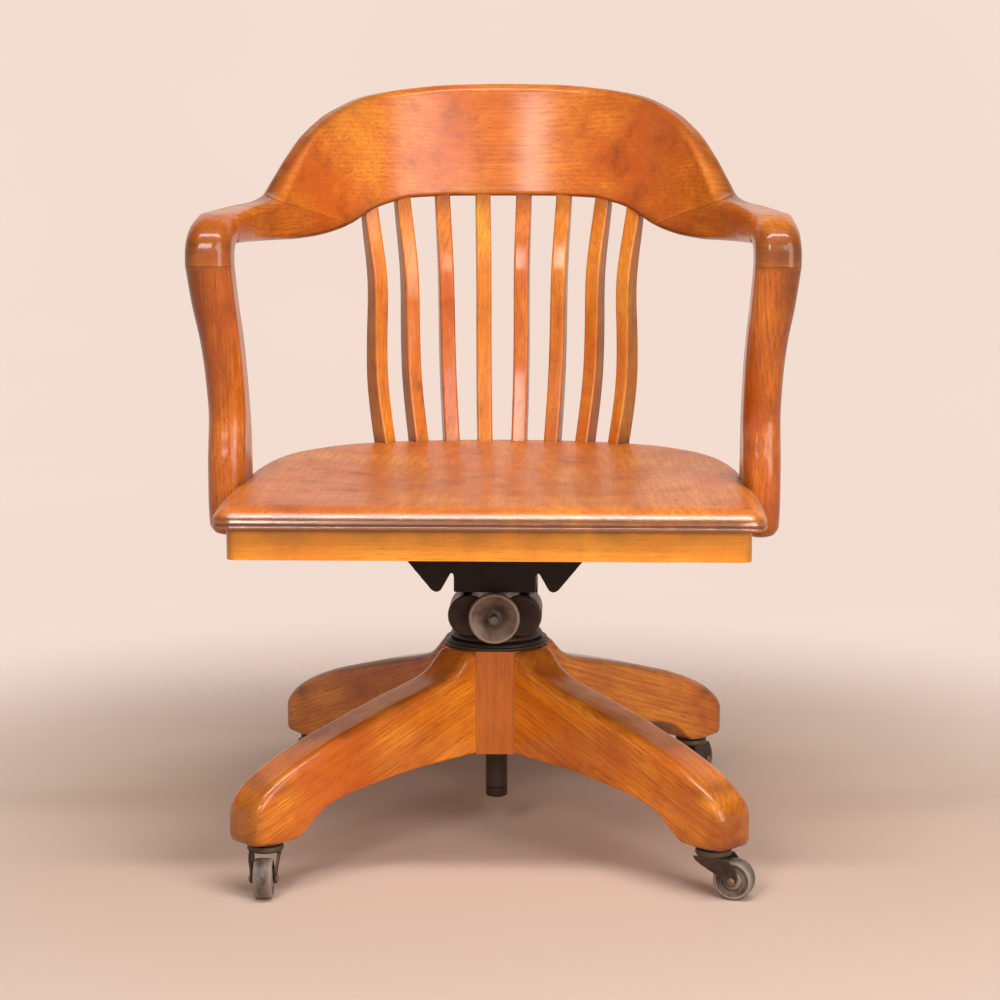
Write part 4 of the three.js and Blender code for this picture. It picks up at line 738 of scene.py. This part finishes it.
knob_iron = iron("knob_iron", (0.13, 0.086, 0.066), (0.42, 0.32, 0.25), rough=0.36, metal=0.3, scale=70.0)
iron_piece("hand_knob", knob, knob_iron, "tension_screw", "tension_knob", on_rod, 50)
screw_rod = turned([
    (0, rod_front), (rod_out - 1, rod_front), (rod_out, rod_front + 1), (rod_out, rod_back), (0, rod_back),
], 48)
iron_piece("screw_rod", screw_rod, bolt_steel, "tension_screw", "tension_rod", on_rod)
knob_nut = hex_nut(7, knob_nut_front, knob_nut_thick, rod_out)
iron_piece("knob_nut", knob_nut, bolt_steel, "tension_screw", "rod_nut", on_rod, 30)

# Spring and plunger: a short stiff coil between the yoke's back and a flanged steel cap that slides on the
# rod's end; the seat iron's cam bar bears on the cap.
coil_radius, coil_wire, coil_turns, coil_length = 12.4, 1.8, 4, 27.4
coil_start, coil_steps = yoke_back + 0.3, 32 * coil_turns
cap_bore, cap_sleeve, cap_flange, cap_end, cap_front, cap_back = rod_out + 0.4, 9, 16.5, 37, 52, 56
coil_path = [(coil_radius, coil_start, 0.0)]
for step in range(coil_steps + 1):
    share = step / coil_steps
    around = share * coil_turns * 2 * math.pi
    coil_path.append((coil_radius * math.cos(around),
                      coil_start + 2 * coil_wire + (coil_length - 4 * coil_wire) * share,
                      coil_radius * math.sin(around)))
coil_path.append((coil_path[-1][0], coil_start + coil_length, coil_path[-1][2]))
coil_rings = []
for i, point in enumerate(coil_path):
    before, after = Vector(coil_path[max(i - 1, 0)]), Vector(coil_path[min(i + 1, len(coil_path) - 1)])
    ahead = (after - before).normalized()
    outward = Vector((point[0], 0, point[2])).normalized()
    across = ahead.cross(outward).normalized()
    level = across.cross(ahead)
    coil_rings.append([Vector(point) + level * u + across * v for u, v in circle(coil_wire, 12)])
coil = iron_piece("tension_coil", skinned(coil_rings), bolt_steel, "column",
                  "tension_spring", at_screw)
coil.modifiers.clear()
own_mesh(coil)
cap = turned([
    (0, cap_back - 2), (cap_bore, cap_back - 2), (cap_bore, cap_end), (cap_sleeve - 0.6, cap_end),
    (cap_sleeve, cap_end + 0.6), (cap_sleeve, cap_front), (cap_flange - 0.5, cap_front),
    (cap_flange, cap_front + 0.5), (cap_flange, cap_back - 0.6), (cap_flange - 0.6, cap_back), (0, cap_back),
], 64)
iron_piece("spring_cap", cap, bolt_steel, "plunger", "spring_plunger", on_rod)

# Seat iron: the casting screwed under the seat. Two cheeks hang on the pivot shaft, two arms reach across
# the slab, the front one on deep tapering webs. The yoke's brown enamel, painted far darker as shade under
# the seat.
iron_top, iron_thick, iron_front, iron_reach, iron_arm = 373.4, 7.4, 56, 150, 22
cheek_in, cheek_low, cam_middle, cam_out, web_thick = 37.5, 277.7, 62.3, 6, 7
iron_under, iron_back = iron_top - iron_thick, cam_middle + cam_out
web = [(43.8, 370), (43.8, 302), (47, 299), (58, 279.6), (61.5, 277.9), (65, 278.2), (68.5, 280.6), (96, 314),
       (120, 345), (150, 365.5), (150, 370)]
# Painted shade: a far darker copy of the yoke's enamel, for the iron in the seat's shadow.
shaded_enamel = iron("shaded_enamel", (0.008, 0.0042, 0.0026), (0.046, 0.026, 0.018), rough=0.5, metal=0.05)
seat_iron = bmesh.new()
block(seat_iron, (-cheek_out, -iron_front, iron_under), (cheek_out, iron_back, iron_top))
for cheek_start, cheek_end in ((-cheek_out, -cheek_in), (cheek_in, cheek_out)):
    cheek = prism([
        (-iron_front, cheek_low), (-pivot_boss, cheek_low), (pivot_boss, pivot_high - pivot_boss),
        (cam_middle - cam_out, screw_high + cam_out), (cam_middle - cam_out, screw_high - cam_out),
        (iron_back, screw_high - cam_out), (iron_back, iron_top - 2), (-iron_front, iron_top - 2),
    ], cheek_start, cheek_end)
    joined(seat_iron, cheek, facing_x)
cam_half = cheek_out - 0.5
cam_bar = turned([(0, -cam_half), (cam_out, -cam_half), (cam_out, cam_half), (0, cam_half)], 64)
joined(seat_iron, cam_bar, shifted(0, cam_middle, screw_high) @ along_x)
block(seat_iron, (-cheek_out, -iron_front, cheek_low), (cheek_out, -iron_front + web_thick, iron_top))
for side in (-1, 1):
    gusset = prism([(side * x, z) for x, z in web][::side], -iron_front, -iron_front + web_thick)
    softened(gusset, 0.6, segments=2)
    joined(seat_iron, gusset, facing_y)
for beam in (-iron_front, iron_back - iron_arm):
    block(seat_iron, (-iron_reach, beam, iron_under), (iron_reach, beam + iron_arm, iron_top))
stand("seat_iron_casting", casting("seat_iron_casting", seat_iron, 1.6, 2), shaded_enamel, "chair",
      "seat_iron")
screw_x, screw_front, screw_rear = iron_reach - iron_arm / 2, -41.5, 57.3
screw_out, screw_end = 3, iron_top + 16
screw_places = {"front_left": (-screw_x, screw_front), "front_right": (screw_x, screw_front),
                "rear_right": (screw_x, screw_rear), "rear_left": (-screw_x, screw_rear)}
for corner, (x, y) in screw_places.items():
    head = iron_under - 0.3
    screw = turned([
        (0, head - 2.4), (screw_out, head - 2.3), (4.6, head - 1.6), (5.5, head - 0.2), (5.5, head),
        (screw_out, head), (screw_out, screw_end), (0, screw_end),
    ], 32)
    iron_piece("wood_screw_" + corner, screw, bolt_steel, "chair", "iron_screw_" + corner,
               shifted(x, y, 0))

# Seat: a thick oak slab glued up from boards, hollowed to a saddle, its front rolled over and its back
# cut to a bow. Redder and more worn than the rest, with the varnish gone dark along the front roll.
seat_under, seat_half, seat_front, seat_back = 373.7, 276, -250, 206
seat_rise_front, seat_rise_back, saddle_depth = 22, 42, 9
seat_plan = [
    (0, -250), (109.2, -250), (218.4, -250), (250, -249.9), (262, -249.3), (270.5, -243.6), (274, -231.8),
    (275.5, -200), (276, -150), (273.5, -98), (270, -30), (266.5, 10), (260, 50), (250, 85), (236, 113),
    (217, 137), (190, 162), (158, 179), (110, 194), (57, 203), (0, 206),
]
# The slab's edge from the underside up, as (inset from the rim, height above the underside), then from the
# top down, as (inset, depth below the top): a worn bead low down, a plain face, and a full soft roll.
edge_foot = [(4.0, 0.0), (1.8, 0.25), (0.5, 1.2), (0.0, 2.6), (0.4, 3.8), (1.3, 4.5), (1.2, 5.4), (0.7, 6.8)]
edge_roll = [(0.3, 15.0), (0.8, 12.6), (2.0, 10.4), (3.7, 8.3), (5.5, 6.3), (7.5, 4.5), (10.3, 2.7),
             (14.0, 1.2), (18.5, 0.3), (23.0, 0.0)]


def followed(points, count):
    """Points spaced along a smooth curve through the points given."""
    points = np.asarray(points, float)
    run = np.concatenate([[0], np.cumsum(np.linalg.norm(np.diff(points, axis=0), axis=1))])
    return through(np.column_stack([run, points]), np.linspace(0, run[-1], count))


def slab_top(x, y, inward):
    """Height of the seat's top: a plane that rises to the back, with the saddle sunk inside the rim."""
    back = rise(y, seat_front, seat_back)
    hollow = hump(np.abs(x) / seat_half, 0.36, 0.3) * hump(back, 0.52, 0.3)
    fade = rise(inward, 0, 0.25)
    fade = fade * fade * (3 - 2 * fade)
    plane = seat_under + seat_rise_front + (seat_rise_back - seat_rise_front) * back
    return plane - saddle_depth * hollow * fade


def seat_wear_and_shade(x, y, z):
    """Dark on the worn front face; painted shade in the corners by the posts, in the groove of the lower bead
    and, faintly, over the saddle hollows.
    """
    side = np.abs(x)
    face = rise(z, 389.7, 384.7) * np.maximum(rise(y, -236, -242), 0.35)
    corner_shade = hump(side, 262, 12) * hump(y, -70, 50) * 0.7
    middle = hump(side, 100, 70) * hump(y, -60, 110) * 0.16
    return face + corner_shade + middle + hump(z, 378.3, 0.7) * 0.7


def seat_rubbed(x, y, z):
    """Rubbed bright along the front roll, where the sitter's legs rest."""
    return rise(y, -236, -250) * rise(z, 374, 376)


right_edge = followed(seat_plan, 90)
right_edge[:, 0] = np.clip(right_edge[:, 0], 0, seat_half)
right_edge[:, 1] = np.clip(right_edge[:, 1], seat_front, seat_back)
rim = np.vstack([right_edge, right_edge[-2:0:-1] * (-1, 1)])
ahead = np.roll(rim, -1, axis=0) - np.roll(rim, 1, axis=0)
rim_out = np.column_stack([ahead[:, 1], -ahead[:, 0]]) / np.linalg.norm(ahead, axis=1)[:, None]
seat_rings = []
for inset, height in edge_foot:
    seat_rings.append([(x, y, seat_under + height) for x, y in rim - rim_out * inset])
for inset, depth in edge_roll:
    seat_rings.append([(x, y, slab_top(x, y, 0) - depth) for x, y in rim - rim_out * inset])
seat_middle = np.array([0, (seat_front + seat_back) / 2])
last_ring = np.array(seat_rings[-1])[:, :2]
for inward in np.linspace(0.03, 0.985, 44):
    ring = last_ring + (seat_middle - last_ring) * inward
    seat_rings.append([(x, y, slab_top(x, y, inward)) for x, y in ring])
seat_oak = oak("seat_oak", (0.84, 0.27, 0.024), (0.44, 0.092, 0.008), pith=(0.01, -0.16), ring=5.5,
               gloss=0.42, coat=0.27, shine=1.0, varnish=0.3)
oak_piece("saddle_seat", skinned(seat_rings), seat_oak, "seat_slab", (0, 1, 0), (1, 0, 0), 4.0, seat_wear_and_shade,
          seat_rubbed)

# Seat frame: four oak rails under the slab, a straight one in front, the others following the seat's edge.
# Glued and screwed to the slab.
rail_low, rail_high, rail_thick, rail_half, rail_front = 343.4, 373.4, 21, 259.5, -243
rail_corner, rail_ease = 10, 1.8
rail_plan = [
    (259.5, -221.7), (259.5, -160), (259.4, -105), (252.6, -52.2), (245.6, 4.9), (242, 39), (234.6, 73),
    (221.9, 100), (204, 123), (178.5, 147), (148.4, 163.6), (103.8, 178.1), (53.6, 186.4), (0, 189.5),
]
rail_oak = oak("rail_oak", (0.98, 0.380, 0.030), (0.64, 0.165, 0.010), pith=(0.06, -0.05), ring=3.6)


def rail_wear_and_shade(x, y, z):
    """Painted shade along the joint under the slab, and dark on the knocked lower corners."""
    return rise(z, 371.8, 373.3) * 0.8 + rise(np.abs(x), 246, 260) * fading(z, rail_low, 6) * 0.8


def rail(points):
    """A rail whose outer face follows the points."""
    ahead = np.gradient(points, axis=0)
    ahead /= np.linalg.norm(ahead, axis=1)[:, None]
    inward = np.column_stack([-ahead[:, 1], ahead[:, 0]])
    section = upright(rail_thick / 2, rail_low, rail_high, rail_ease, rail_ease, 3)
    return skinned([[(*(point + turn * (rail_thick / 2 - across)), height) for across, height in section]
                    for point, turn in zip(points, inward)])


corner = [(rail_half - rail_corner * (1 - math.sin(a)), rail_front + rail_corner * (1 - math.cos(a)))
          for a in np.linspace(0, math.pi / 2, 9)]
rail_places = np.linspace(-1, 1, 60)[1:-1] * (rail_half - rail_corner)
rail_inside = rail_front + rail_thick
front_rail = prism([(x, rail_front) for x in rail_places] + corner + [(rail_half, rail_inside)]
                   + [(x, rail_inside) for x in rail_places[::-1]] + [(-rail_half, rail_inside)]
                   + [(-x, y) for x, y in corner[::-1]], rail_low, rail_high)
softened(front_rail, rail_ease, segments=4)
oak_piece("rail_front", front_rail, rail_oak, "apron_front", (1, 0, 0), (0, 0, 1), 5.2, rail_wear_and_shade)
rail_curve = followed(rail_plan, 120)
split = int(np.argmin(np.abs(rail_curve[:, 1] - 5)))
half_gap = (rail_curve[split + 1] - rail_curve[split]) * 0.03
right_rail = np.vstack([rail_curve[:split], rail_curve[split] - half_gap])
back_half = np.vstack([rail_curve[split] + half_gap, rail_curve[split + 1:]])
back_rail = np.vstack([back_half, back_half[-2::-1] * (-1, 1)])
left_rail = right_rail[::-1] * (-1, 1)
for side, points, along in (("right", right_rail, (0.05, 1, 0)), ("left", left_rail, (-0.05, 1, 0)),
                            ("back", back_rail, (1, 0, 0))):
    name = "rail_" + side
    oak_piece(name, rail(points), rail_oak, "apron_" + side, along, (0, 0, 1), 6.1 + len(name))

# Bow: the crest rail and the two arms, band-sawn from thick stock and scarfed together, then shaped as one.
# The crest is tall and leans back, and sinks over the shoulders to the flat arms.
bow_rows = np.array([
    # across, forward, half thickness, top, bottom, lean outward for each mm above the arm
    (0, 232, 13, 826.7, 696.7, 0.170), (51.9, 227, 13, 825.5, 696.6, 0.170),
    (105, 212, 13, 820, 694.4, 0.162), (136.9, 197, 13, 813.4, 686.8, 0.150),
    (154.9, 184.9, 13.2, 807.5, 678.8, 0.139),
    (176.9, 168.1, 13.5, 795.6, 665.2, 0.119), (194.9, 149.9, 13.7, 782.3, 657.7, 0.099),
    (212, 131, 14.1, 765.3, 653, 0.078), (225.9, 113.1, 14.4, 744.6, 650.9, 0.058),
    (239, 91, 14.9, 720.1, 649.7, 0.037), (250, 67.1, 15.6, 699.2, 649.7, 0.020),
    (261.9, 36, 16.8, 691.3, 649.7, 0.007), (272, -0.1, 18.2, 688.3, 649.7, 0),
    (283, -60, 21.4, 683.1, 649.7, 0), (286.4, -83, 22.5, 681.4, 649.7, 0),
])
bow_count, arm_start = 110, 40
arm_low, arm_end_x, arm_low_round, arm_top_round = 649.7, 286.4, 6, 9.6
elbow_fillet, elbow_back, elbow_out, elbow_full, joint_low = 8, 39.7, 62, 2.2, 628.2
elbow_x, elbow_y, elbow_z, elbow_steps = 290, -83, arm_low - elbow_fillet, 18
scarf_x, scarf_z, scarf_slope, scarf_gap = 174, 665.2, 0.4114, 0.15
back_oak = oak("back_oak", (0.82, 0.272, 0.026), (0.40, 0.078, 0.006), pith=(0.07, -0.15), ring=5.2,
               coat=0.22)
arm_oak = oak("arm_oak", (0.73, 0.212, 0.018), (0.32, 0.060, 0.005), pith=(0.05, -0.09), ring=4.4)
bow_run = np.concatenate([[0], np.cumsum(np.hypot(np.diff(bow_rows[:, 0]), np.diff(bow_rows[:, 1])))])
bow_at = np.linspace(0, bow_run[-1], bow_count)
mirrored_run = np.concatenate([-bow_run[:0:-1], bow_run])
mirrored_rows = np.vstack([bow_rows[:0:-1] * (-1, 1, 1, 1, 1, 1), bow_rows])
bow_plan = through(np.column_stack([mirrored_run, mirrored_rows[:, :2]]), bow_at)
bow_form = through(np.column_stack([mirrored_run, mirrored_rows[:, 2:]]), bow_at, round_over=False)
bow_ahead = np.gradient(bow_plan, axis=0)
bow_ahead[0] = (1, 0)
bow_ahead[-1] = (bow_ahead[-1] + np.array((0, -1)) * np.linalg.norm(bow_ahead[-1])) / 2
bow_ahead /= np.linalg.norm(bow_ahead, axis=1)[:, None]


def flipped(rings):
    return [[point * (-1, 1, 1) for point in ring] for ring in rings]


def sawn(bm, side, keep_above):
    """Cuts along the scarf on one side, clear of the joint by half its gap, and closes the cut."""
    square = Vector((-side * scarf_slope, 0, 1)).normalized()
    gap = scarf_gap if keep_above else -scarf_gap
    point = (Vector((side * scarf_x, 0, scarf_z)) + square * gap) * mm
    cut = bmesh.ops.bisect_plane(bm, geom=bm.verts[:] + bm.edges[:] + bm.faces[:], dist=1e-6, plane_co=point,
                                 plane_no=square, clear_inner=keep_above, clear_outer=not keep_above)
    edges = [e for e in cut["geom_cut"] if isinstance(e, bmesh.types.BMEdge)]
    bmesh.ops.edgeloop_fill(bm, edges=edges)


def bow_wear_and_shade(x, y, z):
    """Painted shade on the crest's lower edge and shoulders and outside the elbows; dark end grain on the
    knuckles.
    """
    side = np.abs(x)
    low = np.interp(side, bow_rows[:, 0], bow_rows[:, 4])
    top = np.interp(side, bow_rows[:, 0], bow_rows[:, 3])
    under_shade = fading(np.maximum(z - low, 1), 1, 3.5) * 0.6 * np.maximum(rise(side, 250, 230), 0.3)
    flank_shade = rise(side, 290, 312) * rise(y, -20, -80) * 0.35
    knuckle = rise(y, -104, -128) * rise(z, 676, 662) * 0.42
    shoulder_shade = fading(np.maximum(top - z, 0), 0, 9) * rise(side, 100, 170) * rise(z, 680, 700) * 0.45
    heel = rise(side, 236, 252) * hump(y, 60, 40) * 0.35
    return under_shade + flank_shade + heel + knuckle + shoulder_shade


right_bow = []
for (x, y), (half, top, low, lean), ahead in zip(bow_plan, bow_form, bow_ahead):
    ring = []
    for across, height in upright(half - 0.03, low, top, arm_low_round, arm_top_round, 7, rows=9):
        shift = across + lean * (height - arm_low)
        ring.append(np.array((x - ahead[1] * shift, y + ahead[0] * shift, height)))
    right_bow.append(ring)
elbow = []
for step in range(1, elbow_steps + 1):
    share = step / elbow_steps
    down, on = math.cos(share * math.pi / 2), math.sin(share * math.pi / 2)
    reach = ((down / elbow_back) ** elbow_full + (on / elbow_out) ** elbow_full) ** (-1 / elbow_full)
    middle = arm_end_x + (elbow_x - arm_end_x) * share
    low_round = arm_low_round + 6.5 * share
    top_round = arm_top_round + 6.9 * math.sqrt(share) + 3.5 * math.sin(math.pi * share)
    section = upright(22.45 + share, elbow_fillet, reach, low_round, top_round, 7, rows=9)
    elbow.append([np.array((middle + across, elbow_y - out * on, elbow_z + out * down))
                  for across, out in section])
knuckle_end = elbow[-1]
for drop in (0.5, 1.0):
    elbow.append([np.array((x, y, elbow_z + (joint_low - elbow_z) * drop)) for x, y, z in knuckle_end])
crest = skinned(flipped(right_bow[:0:-1]) + right_bow)
for side in (-1, 1):
    sawn(crest, side, True)
oak_piece("crest", crest, back_oak, "crest_rail", (1, 0, 0), (0, 0, 1), 7.4, bow_wear_and_shade)
right_arm = right_bow[arm_start:] + elbow
for side, name, rings in ((-1, "left", flipped(right_arm)), (1, "right", right_arm)):
    arm = skinned(rings)
    sawn(arm, side, False)
    oak_piece("bow_arm_" + name, arm, arm_oak, "arm_" + name, (side * 0.42, -0.9, -0.05), (0, 0, 1),
              8.3 + side, bow_wear_and_shade)

# Arm posts: shaped oak uprights outside the seat, thick at the foot where they are screwed to the rails,
# sweeping forward and outward to meet the knuckles of the arms.
post_rows = [
    # height, across, forward, thickness, depth
    (344.9, 279.5, -69, 16.4, 48.5), (348.3, 279.5, -69.8, 28.1, 68.5), (357.6, 279.4, -70.8, 37.4, 81),
    (387.4, 279.3, -72, 39, 84), (408, 279.3, -72.3, 39, 83.4), (424, 279.3, -72.2, 39, 81.6),
    (440, 279.2, -71.5, 39, 76.5), (456, 279, -71.6, 39, 69.8), (472.2, 278.9, -73.9, 39, 62.6),
    (490, 279.1, -79.4, 39.3, 58.6), (514.7, 279.6, -87.9, 39.8, 57.4), (548.7, 281.7, -97.8, 41.3, 56.2),
    (588.3, 286.4, -108.9, 44.5, 55.5), (627.9, 290, -118, 46.8, 54),
]
post_low, post_shoulder, post_high, post_front_round, post_back_round = 344.9, 357.6, 627.9, 16.5, 12.5
post_at = np.concatenate([np.linspace(post_low, post_shoulder, 9),
                          np.linspace(post_shoulder, post_high, 60)[1:]])
post_line = through(post_rows, post_at, round_over=False)
post_oak = oak("post_oak", (0.69, 0.188, 0.014), (0.29, 0.050, 0.003), pith=(0.10, 0.07), ring=4.0)


def post_shade_and_joint(x, y, z):
    """Painted shade on the outer flank toward the top, by the seat and toward the foot; a dark joint at the
    knuckle.
    """
    flank_shade = rise(np.abs(x), 282, 302) * np.maximum(rise(z, 380, 580), 0.4) * 0.6
    seat_shade = rise(np.abs(x), 270, 264) * hump(z, 398, 14) * 0.7
    return flank_shade + seat_shade + hump(z, 627, 3) * 0.8 + fading(z, 344, 7) * 0.5


for side, name in ((-1, "left"), (1, "right")):
    rings = []
    for height, (across, forward, thick, deep) in zip(post_at, post_line):
        section = upright(thick / 2, -deep / 2, deep / 2, post_front_round, post_back_round, 7, rows=3)
        rings.append([(side * (across + u), forward + v, height) for u, v in section])
    oak_piece("oak_post_" + name, skinned(rings), post_oak, "arm_post_" + name, (0, -0.12, 1), (1, 0, 0),
              11.0 + side, post_shade_and_joint)

# Slats: eight oak bars bent to an S and turned to face the sitter, tenoned into the seat and into the crest.
# Each is cut from a different stick, so that they differ in colour.
slat_wide, slat_thick, slat_round, slat_bow, slat_inset, slat_tenon = 17.5, 21, 2.8, 8.5, 22, 11
slat_rows = [
    # at the top and the foot: place across, then the turn toward the middle in degrees
    (23.8, 20.0, 4.6, 5.7), (70.2, 58.4, 7.1, 14.3), (115.9, 95.6, 18.0, 34.4), (152.0, 133.7, 23.0, 51.6),
]
slat_bend = [
    # share of the height, bend forward, thickness
    (0, 0, 1), (0.07, -0.26, 1), (0.15, -0.54, 1), (0.22, -0.72, 1), (0.3, -0.78, 1), (0.4, -0.52, 1),
    (0.5, -0.04, 1), (0.6, 0.6, 1), (0.7, 1, 0.99), (0.78, 0.9, 0.97), (0.86, 0.58, 0.92), (1, 0, 0.74),
]
slat_tones = [((0.90, 0.320, 0.028), (0.44, 0.108, 0.008)), ((0.95, 0.380, 0.034), (0.50, 0.132, 0.010)),
              ((0.82, 0.255, 0.034), (0.42, 0.092, 0.012)), ((0.90, 0.330, 0.022), (0.44, 0.106, 0.007))]
slat_oaks = [oak(f"slat_oak_{i}", pale, deep, pith=(0.05 + 0.02 * i, 0.08 - 0.03 * i), ring=3.4 + 0.5 * i)
             for i, (pale, deep) in enumerate(slat_tones)]
slat_places = np.linspace(0, 1, 60)
slat_curve = through(slat_bend, slat_places)
rim_back = right_edge[45:][::-1]


def slat_end_shade(x, y, z):
    """Painted shade at both ends, in the joints with the seat and the crest."""
    return fading(np.abs(z - 411), 0, 5) * 0.75 + rise(z, 670, 696) * 0.6


for side, name in ((-1, "left"), (1, "right")):
    for order, (top, foot, top_turn, foot_turn) in enumerate(slat_rows, 1):
        near = int(np.argmin(np.abs(bow_plan[:60, 0] - top)))
        low, lean = bow_form[near, 2:]
        bow_turn = math.atan2(-bow_ahead[near][1], bow_ahead[near][0])
        lean_out = lean * (low - arm_low)
        top_x = top + lean_out * math.sin(bow_turn)
        top_y = bow_plan[near, 1] + lean_out * math.cos(bow_turn)
        foot_y = np.interp(foot, rim_back[:, 0], rim_back[:, 1]) - slat_inset
        foot_z = slab_top(foot, foot_y, 0) - slat_tenon
        rings, side_shade = [], []
        for share, (bend, thick) in zip(slat_places, slat_curve):
            turn = math.radians(foot_turn + (top_turn - foot_turn) * share)
            x = foot + (top_x - foot) * share - bend * slat_bow * math.sin(turn)
            y = foot_y + (top_y - foot_y) * share - bend * slat_bow * math.cos(turn)
            z = foot_z + (low + slat_tenon - foot_z) * share
            half = slat_thick * thick / 2
            section = upright(slat_wide / 2, -half, half, slat_round, slat_round, 4)
            # Painted shade on both side faces of each slat.
            side_shade += [rise(abs(u) / slat_wide, 0.45, 0.5) * 0.5 for u, v in section]
            rings.append([(side * (x + u * math.cos(turn) + v * math.sin(turn)),
                           y - u * math.sin(turn) + v * math.cos(turn), z) for u, v in section])
        painted_side_shade = np.array(side_shade + [0, 0])
        stick = slat_oaks[(order + (side > 0)) % len(slat_oaks)]
        oak_piece(f"oak_slat_{name}_{order}", skinned(rings), stick, f"slat_{name}_{order}", (0, 0.05, 1),
                  (1, 0, 0), 13.0 + side * order,
                  lambda x, y, z: slat_end_shade(x, y, z) + painted_side_shade)
